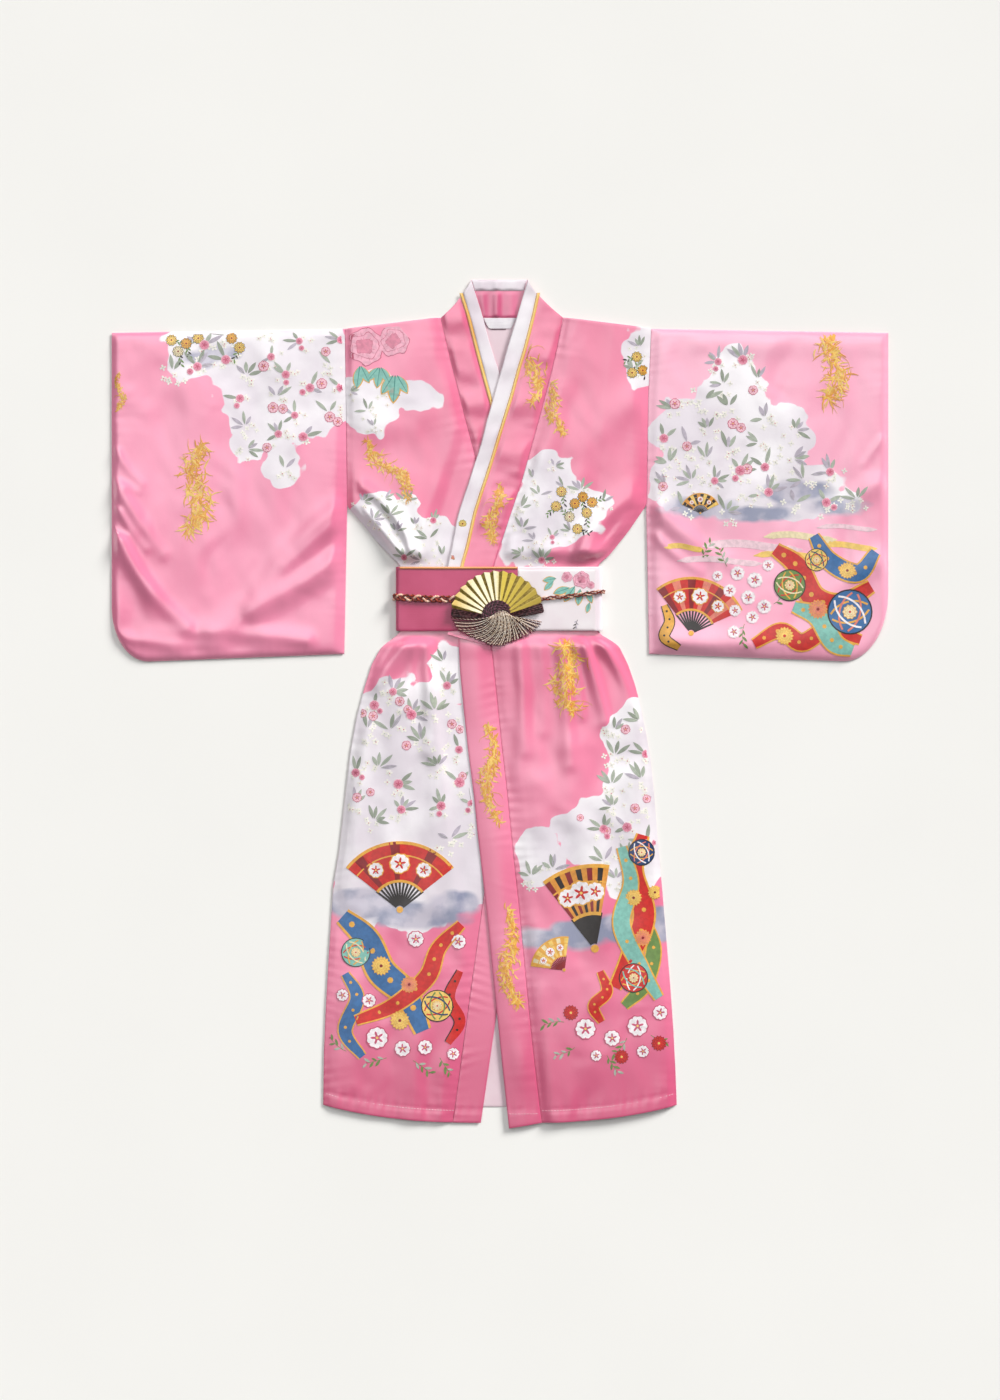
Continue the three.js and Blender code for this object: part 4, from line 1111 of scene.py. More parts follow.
def teal_leaves(p, rows):
    for row in rows:
        teal_leaf(p, *row)


def blossoms(p, rows, spin=30, **looks):
    """Blossoms at x, y with a radius each, turned by it as well."""
    for x, y, r in rows:
        blossom(p, x, y, r, spin * r, **looks)


def bloom_cluster(p, rows, rim="rose"):
    blossoms(p, rows, 17, shade="white", rim=rim, layer=6)


def gold_flowers(p, rows):
    for x, y, r, shade in rows:
        chrysanthemum(p, x, y, r, shade, "gold", "wine", layer=9)


def sprays(p, rng, length, rows):
    """Leafy stems at x, y that point in a direction."""
    for x, y, turn in rows:
        sprig(p, x, y, length, turn, rng, "green", "leaf")


def small_daisies(p, rng, r, rows):
    """Little gold daisies with dark hearts, each with a leafy stem."""
    for x, y, shade in rows:
        chrysanthemum(p, x, y, r, shade, "black", "wine", 10, layer=2)
        sprig(p, x, y, 2.1 * r, rng.uniform(0, 360), rng, "green", "black", bud=False)


def print_right_front():
    p = Print("print_front_right", right_front_top, right_front_seen)
    rng = random.Random(3)
    peonies(p, ((-203, 536, 30, 0), (-160, 544, 25, 40)))
    teal_leaves(p, (
        (-212, 506, 27, 228), (-210, 506, 33, 262), (-208, 506, 27, 296), (-182, 504, 25, 230),
        (-180, 504, 30, 262), (-178, 504, 26, 298), (-160, 492, 32, 238), (-157, 492, 40, 266),
        (-154, 492, 30, 300)))
    gold_spray(p, -166, 352, 108, 32, -54, rng)
    scatter(p, CLOUDS["front_right"][:3], 4, 4, blossoms=0.2)
    scatter(p, CLOUDS["front_right"][3:6], 5, 12, blossoms=0.2)
    skirt = CLOUDS["front_right"][6:]
    scatter(p, POSIES["front_right"], 6, 26, 34, blossoms=0.4, size=(25, 34), clouds=skirt)
    blossoms(p, (
        (-150, 4, 8), (-138, -8, 7), (-190, -18, 8), (-206, -14, 7), (-72, -30, 8), (-60, -38, 7),
        (-140, -62, 8), (-56, -108, 7), (-214, -140, 8), (-194, -132, 7)))
    open_fan(p, -150, -308, 102, 90, 104, ("red", "red", "wine", "red"))
    ribbon(p, ((-236, -318), (-200, -352), (-178, -400), (-140, -436), (-116, -490)), 42, "blue", "gold", 4)
    ribbon(p, ((-58, -330), (-92, -366), (-110, -410), (-160, -452), (-216, -474)), 26, "red", "gold", 6)
    ribbon(p, ((-232, -404), (-214, -440), (-232, -490), (-206, -528)), 22, "blue", "gold", 4)
    ribbon(p, ((-60, -400), (-76, -440), (-60, -476), (-78, -508)), 18, "red", "black", 4)
    temari(p, -216, -372, 22, "teal", ("red", "gold", "cream"), 10, 8)
    temari(p, -94, -452, 24, "sun", ("red", "green", "navy"), 30, 8)
    gold_flowers(p, ((-178, -392, 15, "sun"), (-136, -420, 13, "coral"), (-150, -474, 15, "sun")))
    bloom_cluster(p, (
        (-62, -356, 13), (-126, -352, 14), (-184, -500, 19), (-146, -516, 14), (-112, -514, 13),
        (-236, -436, 11), (-196, -444, 12), (-70, -524, 11)))
    sprays(p, rng, 30, (
        (-170, -530, 200), (-90, -530, 300), (-50, -430, 330), (-130, -534, 330), (-230, -520, 160)))
    return p.build()


def print_left_front():
    p = Print("print_front_left", left_front_top, left_front_seen)
    rng = random.Random(13)
    gold_spray(p, 80, 446, 84, 30, -72, rng)
    gold_spray(p, 100, 40, 100, 58, -84, rng)
    scatter(p, CLOUDS["front_left"][:1], 14, 2, blossoms=0.0)
    scatter(p, CLOUDS["front_left"][1:5], 15, 13, blossoms=0.15)
    skirt = CLOUDS["front_left"][5:]
    scatter(p, POSIES["front_left"], 16, 20, 32, blossoms=0.4, size=(24, 32), clouds=skirt)
    small_daisies(p, rng, 8.5, (
        (205, 520, "sun"), (214, 500, "gold"), (198, 496, "sun"), (92, 318, "sun"), (112, 300, "gold"),
        (130, 286, "sun"), (104, 280, "cream"), (124, 310, "gold"), (84, 296, "sun"), (138, 302, "gold"),
        (116, 262, "sun")))
    blossoms(p, ((188, -38, 8), (202, -156, 8), (220, -142, 7), (160, -190, 7), (120, -170, 6)))
    open_fan(p, 142, -366, 126, 104, 48, ("amber", "black", "amber", "wine"))
    open_fan(p, 96, -398, 50, 128, 92, ("sun", "gold", "cream", "gold"), ribs="wine")
    ribbon(p, ((214, -196), (200, -250), (216, -316), (196, -376), (172, -424)), 32, "red", "gold", 3)
    ribbon(p, ((182, -214), (196, -268), (182, -330), (212, -396), (238, -440)), 26, "teal", "gold", 5)
    ribbon(p, ((222, -330), (230, -370), (216, -420), (186, -452)), 24, "green", "gold", 1)
    ribbon(p, ((150, -400), (160, -430), (140, -452), (152, -476)), 18, "red", "gold", 4)
    temari(p, 212, -222, 20, "navy", ("gold", "coral", "white"), 0, 8)
    temari(p, 200, -410, 22, "red", ("gold", "white", "teal"), 20, 8)
    gold_flowers(p, ((200, -290, 13, "sun"), (214, -350, 13, "coral"), (232, -282, 11, "sun")))
    for x, y, r in ((106, -462, 12), (238, -508, 12), (182, -528, 11)):
        chrysanthemum(p, x, y, r, "red", "wine", "sun", 14)
    bloom_cluster(p, (
        (128, -486, 18), (168, -500, 14), (206, -482, 18), (240, -462, 13), (144, -526, 10), (214, -520, 11)))
    sprays(p, rng, 28, (
        (112, -514, 220), (160, -526, 300), (226, -496, 330), (96, -476, 170), (190, -500, 250)))
    return p.build()


def print_sleeve_right():
    sleeve = SLEEVES["right"]
    p = Print("print_sleeve_right", sleeve.top, sleeve.inside)
    rng = random.Random(23)
    scatter(p, CLOUDS["sleeve_right"], 24, 24, 34, blossoms=0.45, size=(25, 33))
    blossoms(p, (
        (-354, 506, 9), (-340, 444, 9), (-325, 442, 8), (-261, 528, 8), (-267, 480, 9), (-255, 430, 9),
        (-243, 423, 8), (-349, 384, 8)))
    small_daisies(p, rng, 9, (
        (-492, 545, "sun"), (-470, 540, "gold"), (-482, 528, "cream"), (-452, 548, "sun"),
        (-402, 548, "gold"), (-390, 534, "sun")))
    gold_spray(p, -454, 322, 134, 56, -97, rng)
    gold_spray(p, -570, 468, 56, 16, -90, rng)
    return p.build()


def print_sleeve_left():
    sleeve = SLEEVES["left"]
    p = Print("print_sleeve_left", sleeve.top, sleeve.inside)
    rng = random.Random(33)
    scatter(p, CLOUDS["sleeve_left"], 34, 34, 34, blossoms=0.4, size=(25, 33))
    blossoms(p, (
        (262, 450, 9), (280, 386, 8), (349, 420, 9), (361, 414, 8), (379, 470, 8), (370, 352, 9),
        (244, 326, 8)))
    gold_spray(p, 500, 508, 110, 52, -94, rng)
    mists = (
        (450, 250, 110, 10, "cream"), (378, 236, 150, 12, "blush"), (520, 236, 90, 9, "sun"),
        (440, 222, 120, 9, "sun"), (330, 214, 130, 9, "blush"), (520, 264, 90, 7, "blush"),
        (276, 234, 60, 8, "sun"))
    for mist in mists:
        mist_bar(p, *mist)
    open_fan(p, 300, 286, 30, 90, 130, ("sun", "black", "amber", "black"))
    open_fan(p, 286, 106, 84, 76, 104, ("red", "coral", "red", "wine"))
    ribbon(p, ((246, 148), (254, 124), (246, 100), (268, 84)), 16, "gold", "black", 3)
    ribbon(p, ((380, 90), (420, 110), (452, 92), (492, 112), (540, 96)), 26, "red", "gold", 4)
    ribbon(p, ((412, 232), (446, 206), (470, 160), (510, 150), (556, 176)), 34, "red", "gold", 4)
    ribbon(p, ((470, 252), (494, 214), (536, 196), (562, 228)), 28, "blue", "gold", 6)
    ribbon(p, ((440, 146), (476, 130), (500, 92), (528, 80)), 30, "teal", "gold", 6)
    temari(p, 524, 138, 34, "blue", ("gold", "coral", "white"), 15, 8)
    temari(p, 434, 178, 24, "green", ("red", "gold", "cream"), 40, 8)
    temari(p, 474, 216, 17, "sun", ("red", "green", "navy"), 10, 8)
    gold_flowers(p, ((476, 142, 15, "coral"), (520, 200, 13, "sun")))
    chrysanthemum(p, 426, 102, 14, "sun", "gold", "red", layer=9)
    bloom_cluster(p, (
        (356, 196, 12), (382, 186, 13), (344, 170, 11), (372, 160, 12), (396, 146, 12), (352, 140, 10),
        (378, 130, 11), (326, 192, 9), (402, 208, 10), (350, 108, 11)), rim="blush")
    sprays(p, rng, 28, (
        (340, 206, 120), (410, 150, 30), (334, 160, 160), (366, 120, 250), (300, 216, 60)))
    return p.build()


def band_inner_top(side):
    line = COLLAR_SIDES[side]
    return lambda x, y: belt_lift(y) + line["base"] + CLOTH + GAP + TRIM


def print_collars():
    rng = random.Random(43)
    p = Print("print_collar_left", lambda x, y: collar_top("left", x, y), left_collar_seen)
    gold_spray(p, 48, 500, 96, 40, -80, rng)
    gold_spray(p, -8, 286, 84, 30, -98, rng)
    p.build()
    left_band_seen = between(left_collar_inner, left_collar_piping, 212, 284, margin=1.5)
    p = Print("print_inner_collar", band_inner_top("left"), left_band_seen)
    for x, y, shade in ((-56, 270, "sun"), (-62, 252, "cream"), (-58, 232, "sun"), (-70, 222, "coral")):
        chrysanthemum(p, x, y, 6.5, shade, "green", "wine", 9, layer=1)
        sprig(p, x, y, 13, rng.uniform(60, 300), rng, "green", "leaf", bud=False)
    p.build("collar_white")
    p = Print("print_overlap_left", left_overlap_top, left_overlap_seen)
    gold_spray(p, -14, -104, 150, 32, -84, rng)
    gold_spray(p, 16, -380, 148, 38, -84, rng)
    p.build()


# The panels of the body

lower_rows = HEM_SIDE_Y + spread(CROSS_Y - GAP - HEM_SIDE_Y)
upper_rows = CROSS_Y + spread(SHOULDER_Y - CROSS_Y)
all_rows = HEM_SIDE_Y + spread(SHOULDER_Y - HEM_SIDE_Y)
back_rows = HEM_SIDE_Y + spread(SHOULDER_Y - HEM_SIDE_Y, BACK_GRID)


def shifted(line, by):
    return lambda y: line(y) + by


def build_body():
    outside, inside = [satin, satin_reverse], [satin_reverse, satin]
    return [
        body_panel("back", right_side, left_side, back_rows, (BACK_HEM_DROP, BACK_HEM_DROP),
                   back_top, inside, "satin_reverse", spacing=BACK_GRID),
        body_panel("front_right", right_side, shifted(right_seam, -GAP / 2), all_rows,
                   EVEN_HEM, right_front_top, outside, "satin"),
        body_panel("front_left", shifted(left_seam, GAP / 2), left_side, all_rows,
                   EVEN_HEM, left_front_top, outside, "satin"),
        body_panel("overlap_right", shifted(right_seam, GAP / 2), right_front_edge,
                   lower_rows, EVEN_HEM, right_overlap_top, outside, "satin"),
        body_panel("overlap_left", left_front_edge, shifted(left_seam, -GAP / 2),
                   lower_rows, (FRONT_TIP_DROP, FRONT_HEM_DROP), left_overlap_top, outside, "satin"),
    ]


def hem_stitches(name, top, low, high, drop):
    """The running stitches that hold the turned hem, one short thread after another."""
    p = Print(name, top, lambda x, y: np.full(np.shape(x), True))
    start, end = float(low(np.array(HEM_SIDE_Y))) + 4, float(high(np.array(HEM_SIDE_Y))) - 4
    for x in np.arange(start, end, 4.4):
        line = [(x + k, hem_line(x + k, drop) + HEM_FOLD) for k in (0, 1.3, 2.6)]
        p.strip(line, 0.5, "blush")
    return p.build()


# The collar

COLLAR_SIDES = dict(
    right=dict(
        inner=right_collar_inner, piping=right_collar_piping, seam=right_seam, way=-1, base=FRONT_BASE),
    left=dict(
        inner=left_collar_inner, piping=left_collar_piping, seam=left_seam, way=1,
        base=FRONT_BASE + OVERLAP_LIFT))
COLLAR_RISE = dict(inner=COLLAR_TOP - SHOULDER_Y, piping=53.5, seam=NECK_RISE)


def under_left_collar(side, x, y):
    """1 where the right collar lies under the left one, and 0 clear of it."""
    return ramp((x - left_collar_inner(y) + 9) / 8) if side == "right" else 0


def collar_top(side, x, y):
    """The upper face of the pink collar, with soft creases across its outer part."""
    line = COLLAR_SIDES[side]
    from_piping = (x - line["piping"](y)) * line["way"]
    from_seam = (line["seam"](y) - x) * line["way"]
    away = ramp((from_piping - PIPING_WIDTH - 0.5) / 6) * ramp((from_seam - 1) / 7) * belt_press(y)
    seed = 71 if side == "right" else 81
    wave = 2.4 * value_noise(x * 0.3 + y * 0.25, y, 25, seed) + 0.6 * value_noise(x * 0.5, y, 12, seed + 1)
    cover = 1 - 0.6 * under_left_collar(side, x, y)
    swell = np.maximum(0.5 + 0.95 * (1.6 + wave), 0)
    gathers = 0.8 * pucker(from_seam, y, seed + 2) * belt_press(y)
    return belt_lift(y) + line["base"] + CLOTH + (away * swell + gathers) * cover


def collar_strip(node, side, first, last, shifts, raise_by, wall, looks, slot, spacing=GRID):
    """A strip of the collar. A share of 0 is its inner edge, 1 the piping line and 2 the outer seam."""
    line = COLLAR_SIDES[side]
    way = line["way"]
    widest = 95.0 if last > 1 else (36.0 if last > first else PIPING_WIDTH)
    parts = spread(widest, spacing) / widest if widest > 10 else np.linspace(0, 1, 9)
    row, part = np.meshgrid(upper_rows, parts if way > 0 else parts[::-1], indexing="ij")
    share = lerp(first, last, part)
    rise = np.where(
        share <= 1, lerp(COLLAR_RISE["inner"], COLLAR_RISE["piping"], share),
        lerp(COLLAR_RISE["piping"], COLLAR_RISE["seam"], share - 1))
    y = row + towards_top(row) * rise
    inner, piping, seam = (line[k](y) for k in ("inner", "piping", "seam"))
    x = np.where(share <= 1, lerp(inner, piping, share), lerp(piping, seam, share - 1))
    x = x + way * lerp(shifts[0], shifts[1], part)
    width = np.abs(x[:, -1:] - x[:, :1])
    from_edge = np.minimum(np.abs(x - x[:, :1]), np.abs(x - x[:, -1:]))
    ends = np.minimum(row - upper_rows[0], upper_rows[-1] - row)
    if raise_by:
        round_over = np.sqrt(np.clip(4 * from_edge * (width - from_edge) / np.maximum(width, 1) ** 2, 0, 1))
        uncovered = 1 - under_left_collar(side, x, y)
        fullness = 0.5 if first == last else (0.9 + 0.95 * value_noise(x * 0.3, y, 21, 91)) * uncovered
        face = belt_lift(y) + line["base"] + raise_by + wall + fullness * round_over * belt_press(y)
        under = belt_lift(y) + line["base"] + raise_by
    else:
        face = collar_top(side, x, y)
        under = face - wall
    top = np.maximum(face - np.minimum(edge_drop(from_edge) + edge_drop(ends), 0.75 * wall), under + 0.2)
    return finish_piece(shell(node + "_cloth", x, y, top, under, looks), slot, node)


def build_collar():
    onto = CLOTH + GAP
    made = {}
    for side in ("right", "left"):
        made[f"collar_{side}"] = collar_strip(
            f"collar_{side}", side, 0, 2, (0, -GAP / 2), 0, CLOTH,
            [satin_plain, satin_reverse], "satin")
        made[f"inner_collar_{side}"] = collar_strip(
            f"inner_collar_{side}", side, 0, 1, (0, -GAP / 2), onto, TRIM,
            [collar_white, collar_white], "collar_white")
        made[f"collar_piping_{side}"] = collar_strip(
            f"collar_piping_{side}", side, 1, 1, (GAP / 2, PIPING_WIDTH), onto,
            TRIM, [piping_yellow, piping_yellow], "piping")
    return made


NECK = dict(white_from=620.0, reach=12.0, clear=0.5)
LABEL = dict(left=-24.5, right=24.5, top=578.5, bottom=563.0, cut=8.0)


def neck_creases(x, y):
    """Upright folds across the back of the neck."""
    ridges = ((-27, 6, 2.0), (-5, 5, 2.8), (16, 8, 1.3))
    height = sum(tall * np.exp(-(((x - at) / wide) ** 2)) for at, wide, tall in ridges)
    return height * (0.7 + 0.3 * np.sin((y - 560) / 22))


def neck_piece(node, bottom, reach, base, wall, looks, slot, relief):
    """A sheet between the two collars' inner edges, reaching under them or ending short of them."""
    height = COLLAR_TOP - bottom
    row, part = np.meshgrid(spread(height, 3) + bottom, spread(80, 3) / 80, indexing="ij")
    reach = np.minimum(reach, 0.5 * (COLLAR_TOP - row)) if reach > 0 else reach
    x = lerp(right_collar_inner(row) - reach, left_collar_inner(row) + reach, part)
    from_edge = np.minimum(x - x[:, :1], x[:, -1:] - x)
    ends = np.minimum(row - bottom, COLLAR_TOP - row)
    visible = ramp((from_edge - np.maximum(reach, 0)) / 5)
    face = base + wall + visible * ramp(ends / 3) * relief(x, row)
    rounded = np.minimum(edge_drop(from_edge) + edge_drop(ends), 0.7)
    return finish_piece(shell(node + "_cloth", x, row, face - rounded, base, looks), slot, node)


def build_neck():
    back = neck_piece(
        "collar_back", SHOULDER_Y + NECK_RISE + GAP, NECK["reach"], 0, CLOTH,
        [satin_neck, satin_neck], "satin",
        lambda x, y: neck_creases(x, y) * (1 - ramp((y - NECK["white_from"] + 6) / 5)))
    white = neck_piece(
        "inner_collar_back", NECK["white_from"], -NECK["clear"], FRONT_BASE,
        TRIM, [collar_white, collar_white], "collar_white", lambda x, y: 0.9 * neck_creases(x, y))
    wide, tall = LABEL["right"] - LABEL["left"], LABEL["top"] - LABEL["bottom"]
    up, across = np.meshgrid(spread(tall, 3) / tall, spread(wide, 3) / wide, indexing="ij")
    cut = LABEL["cut"]
    narrow = cut * (1 - up)
    x = lerp(LABEL["left"] + narrow, LABEL["right"] - narrow, across)
    y = lerp(LABEL["bottom"], LABEL["top"], up)
    middle = 4 * up * (1 - up) * 4 * across * (1 - across)
    face = FRONT_BASE + 0.55 + 0.4 * middle
    label = shell("neck_label_tape", x, y, face, FRONT_BASE, [label_tape, label_tape])
    finish_piece(label, "label", "neck_label")
    # A thin dark tube along the back facing's fold: the fold is real, its dark colour is a painted shadow
    # line.
    rim = [(LABEL["left"] - 1, LABEL["top"] - 1), (LABEL["left"] + 0.55 * cut, LABEL["bottom"] + 4),
           (LABEL["left"] + cut + 3, LABEL["bottom"] - 0.8), (0, LABEL["bottom"] - 1),
           (9, LABEL["bottom"] - 1)]
    route = curve([(a, b, CLOTH + 0.55) for a, b in rim], 6)
    shadow_line_tube = tube("neck_facing_edge_painted_shadow", route, 0.5, [facing_edge_painted_shadow], 7)
    finish_piece(shadow_line_tube, "label")
    return back, white, label


# Tubes: cords, strands and threads

def frames(route):
    """Two unit directions across a route at each of its points."""
    route = np.asarray(route, float)
    along = np.gradient(route, axis=0)
    along /= np.linalg.norm(along, axis=1)[:, None]
    up = np.array([0.0, 0.0, 1.0])
    side = np.cross(np.broadcast_to(up, along.shape), along)
    weak = np.linalg.norm(side, axis=1) < 1e-3
    side[weak] = np.array([0.0, 1.0, 0.0])
    side /= np.linalg.norm(side, axis=1)[:, None]
    return side, np.cross(along, side)


def tube_mesh(route, radius, sides):
    route = np.asarray(route, float)
    side, up = frames(route)
    a = circle(sides)
    radius = np.broadcast_to(radius, len(route))[:, None, None]
    ring = side[:, None, :] * np.cos(a)[None, :, None] + up[:, None, :] * np.sin(a)[None, :, None]
    points = (route[:, None, :] + ring * radius).reshape(-1, 3)
    faces = []
    for r in range(len(route) - 1):
        for i in range(sides):
            j = (i + 1) % sides
            faces.append([r * sides + i, r * sides + j, (r + 1) * sides + j, (r + 1) * sides + i])
    faces.append(list(range(sides))[::-1])
    last = (len(route) - 1) * sides
    faces.append([last + i for i in range(sides)])
    return points, faces


class Bundle:
    """Several meshes that become one object, each with one of its materials."""

    def __init__(self):
        self.points, self.faces, self.slots, self.count = [], [], [], 0

    def add(self, points, faces, slot=0):
        self.points.append(points)
        self.faces.extend([[i + self.count for i in face] for face in faces])
        self.slots.extend([slot] * len(faces))
        self.count += len(points)

    def build(self, name, looks):
        return make_object(name, np.concatenate(self.points), self.faces, looks, self.slots)


def tube(name, route, radius, looks, sides):
    bundle = Bundle()
    bundle.add(*tube_mesh(route, radius, sides))
    return bundle.build(name, looks)


def resample(route, step):
    """The same route with points at an even distance."""
    route = np.asarray(route, float)
    gone = np.concatenate([[0], np.cumsum(np.linalg.norm(np.diff(route, axis=0), axis=1))])
    at = np.linspace(0, gone[-1], max(2, int(gone[-1] / step) + 1))
    return np.column_stack([np.interp(at, gone, route[:, k]) for k in range(3)]), at


# The sleeves: flat tubes with a folded top, a sewn bottom and an open cuff

FOLD_ROUND = 2.2


def round_over(distance):
    return np.sqrt(np.clip(1 - (1 - np.clip(distance / FOLD_ROUND, 0, 1)) ** 2, 0, 1))


def build_sleeve(side):
    sleeve = SLEEVES[side]
    way = sleeve.way
    armhole = float(sleeve.inner_x(np.array(SLEEVE["armhole"])))
    reach = SLEEVE["outer"] - way * armhole
    tall = SLEEVE["top_inner"] - SLEEVE["bottom_inner"]
    s = spread(reach) / reach
    front_t = spread(tall) / tall
    back_t = np.linspace(1, 0, 26)[1:-1]
    t = np.concatenate([front_t, back_t])
    is_front = np.arange(len(t)) < len(front_t)
    share, rise = np.meshgrid(s, t, indexing="ij")
    low, high = sleeve.bottom_y(share), sleeve.top_y(share)
    middle = (FRONT_BASE + CLOTH) / 2
    layers = []
    y0 = lerp(low, high, rise)
    x0 = lerp(sleeve.inner_x(y0), way * SLEEVE["outer"], share)
    cuff = edge_drop(np.minimum(share, 1 - share) * reach)
    face = sleeve.top(x0, y0)
    for inset in (0.0, CLOTH + GAP):
        y = lerp(low + inset, high - inset, rise)
        x = lerp(sleeve.inner_x(y), way * SLEEVE["outer"], share)
        bend = round_over(np.minimum(rise, 1 - rise) * (high - low - 2 * inset))
        if inset:
            front = middle + np.maximum(face - CLOTH - middle, 0.15) * bend
            back = middle - 0.15 * bend
        else:
            front = middle + (face - cuff - middle) * bend
            back = middle - (middle - 0.4 * cuff) * bend
        z = np.where(is_front[None, :], front, back)
        layers.append(np.stack([x, y, z], axis=-1).reshape(-1, 3))
    rings, size = share.shape
    r, i = np.meshgrid(np.arange(rings - 1), np.arange(size), indexing="ij")
    a = (r * size + i).ravel()
    b = (r * size + (i + 1) % size).ravel()
    outer = np.stack([a, a + size, b + size, b], axis=1)
    inner = outer[:, ::-1] + rings * size
    k = np.arange(size)
    after = (k + 1) % size
    far = (rings - 1) * size
    near_wall = np.stack([k, after, after + rings * size, k + rings * size], axis=1)
    far_wall = np.stack([k, k + rings * size, after + rings * size, after], axis=1) + far
    parts = [outer, inner, near_wall, far_wall]
    if way < 0:
        parts = [part[:, ::-1] for part in parts]
    slots = np.concatenate([np.full(len(part), slot) for part, slot in zip(parts, (0, 1, 0, 0))])
    # The sleeve's outer face takes its satin with painted sheen.
    made = make_object(
        f"sleeve_{side}_cloth", np.concatenate(layers), np.concatenate(parts).tolist(),
        [sleeve_satin_painted_sheen[side], satin_reverse], slots)
    add_print_fields(made, f"sleeve_{side}")
    return finish_piece(made, "satin", f"sleeve_{side}")


# The belt with its printed panel and piping

def loop_section(left, right, low, high, steps):
    """A long loop with round ends as (x, z), anticlockwise from the start of its lower side."""
    r = (high - low) / 2
    mid = (high + low) / 2
    straight = np.linspace(left + r, right - r, steps)
    bend = np.linspace(-math.pi / 2, math.pi / 2, 9)[1:-1]
    lower = np.column_stack([straight, np.full(steps, low)])
    right_bend = np.column_stack([right - r + r * np.cos(bend), mid + r * np.sin(bend)])
    upper = np.column_stack([straight[::-1], np.full(steps, high)])
    left_bend = np.column_stack([left + r - r * np.cos(bend), mid - r * np.sin(bend)])
    return np.concatenate([lower, right_bend, upper, left_bend])


def build_belt():
    rows = BELT["bottom"] + spread(BELT["top"] - BELT["bottom"])
    steps = 70
    outer = loop_section(BELT["left"], BELT["right"], 0, BELT_TOP_Z, steps)
    wall = BELT["wall"]
    inner = loop_section(BELT["left"] + wall, BELT["right"] - wall, wall, BELT["clear"], steps)
    size = len(outer)
    points = []
    for section, inside in ((outer, False), (inner, True)):
        for y in rows:
            ends = min(y - rows[0], rows[-1] - y)
            worn = (0.75 * math.exp(-ends / 1.1)) * (-1 if inside else 1)
            x = section[:, 0] - worn * np.sign(section[:, 0]) * (np.abs(section[:, 0]) > BELT["bends_at"])
            upper = section[:, 1] > BELT_TOP_Z / 2
            wave = 0 if inside else 0.16 * (value_noise(section[:, 0], y, 34, 101) - 1) * upper
            z = np.where(upper, section[:, 1] - worn + wave, section[:, 1] + max(worn, 0) * 0.5)
            points.append(np.column_stack([x, np.full(size, y), z]))
    count = len(rows)
    faces = []
    for r in range(count - 1):
        for i in range(size):
            j = (i + 1) % size
            a, b = r * size + i, r * size + j
            faces.append([b, a, a + size, b + size])
            a, b = a + count * size, b + count * size
            faces.append([a, b, b + size, a + size])
    for i in range(size):
        j = (i + 1) % size
        faces.append([i, j, j + count * size, i + count * size])
        top = (count - 1) * size
        faces.append([top + j, top + i, top + i + count * size, top + j + count * size])
    band = make_object("obi_band_cloth", np.concatenate(points), faces, [belt_twill])
    finish_piece(band, "belt", "obi_band")

    box = BELT_PRINT
    row, col = np.meshgrid(box["bottom"] + spread(box["top"] - box["bottom"]),
                           box["left"] + spread(box["right"] - box["left"]), indexing="ij")
    from_edge = np.minimum(np.minimum(row - box["bottom"], box["top"] - row),
                           np.minimum(col - box["left"], box["right"] - col))
    panel = shell("obi_print_cloth", col, row, panel_top(col, row) - edge_drop(from_edge),
                  BELT_TOP_Z + GAP, [belt_satin, belt_satin])
    finish_piece(panel, "belt_print", "obi_print_panel")

    angles = np.linspace(0, math.pi, 9)
    length = np.linspace(BELT_PIPING["left"], BELT_PIPING["right"], 60)
    y = BELT["top"] - BELT_PIPING["drop"] - BELT_PIPING["half"] * np.cos(angles)
    z = BELT_TOP_Z + GAP + BELT_PIPING["rise"] + BELT_PIPING["height"] * np.sin(angles)
    col, row = np.meshgrid(length, y, indexing="ij")
    height = np.broadcast_to(z, col.shape) + 0.05 * np.sin(col / 5)
    piping = shell("obi_piping_cloth", col.T, row.T, height.T, BELT_TOP_Z + GAP,
                   [piping_orange, piping_orange])
    finish_piece(piping, "belt_piping", "obi_piping")
    return band, panel, piping


def panel_top(x, y):
    swell = 0.14 * (value_noise(x, y, 26, 111) + 1)
    return PANEL_Z - 0.25 + swell


def print_belt():
    rim = BELT_PRINT["rim"]
    p = Print("print_obi", panel_top, lambda x, y: (
        (x > BELT_PRINT["left"] + rim) & (x < BELT_PRINT["right"] - rim)
        & (y > BELT_PRINT["bottom"] + rim) & (y < BELT_PRINT["top"] - rim)))
    peonies(p, ((122, 186, 13.5, 10), (100, 190, 8.5, 40), (136, 178, 6, 0)))
    teal_leaves(p, (
        (84, 188, 20, 190), (80, 184, 19, 225), (104, 174, 25, 200), (112, 176, 27, 235),
        (120, 172, 24, 262), (130, 170, 20, 292), (138, 166, 14, 320), (134, 152, 16, 255)))
    rng = random.Random(53)
    sprig(p, 116, 126, 13, 250, rng, "black", "mist", bud=False)
    return p.build("belt_print")


def build_tuck():
    up, across = np.meshgrid(np.linspace(0, 1, 12), np.linspace(0, 1, 20), indexing="ij")
    left = lerp(TUCK["bottom_left"], TUCK["top_left"], up)
    right = lerp(TUCK["bottom_right"], TUCK["top_right"], up)
    x = lerp(left, right, across)
    y = lerp(lerp(TUCK["low_left"], TUCK["low_right"], across), TUCK["high"], up)
    base = BELT_LIFT + FRONT_BASE + OVERLAP_LIFT + CLOTH + GAP
    fall = np.exp(-up * 3) * np.sin(math.pi * across)
    lift = 2.4 * ramp((108 - y) / 9)
    top = base + lift + TRIM * 0.9 + 0.3 * fall - 0.5 * np.exp(-up * 9) * (1 - fall)
    made = shell("waist_tuck_cloth", x, y, top, base + 0.95 * lift, [satin_plain, satin_plain])
    return finish_piece(made, "satin", "waist_tuck")


# The braided cord

BRAID = dict(across=3.9, deep=0.9, pitch=27.0, ply=1.15, ply_across=0.85, ply_deep=0.72)


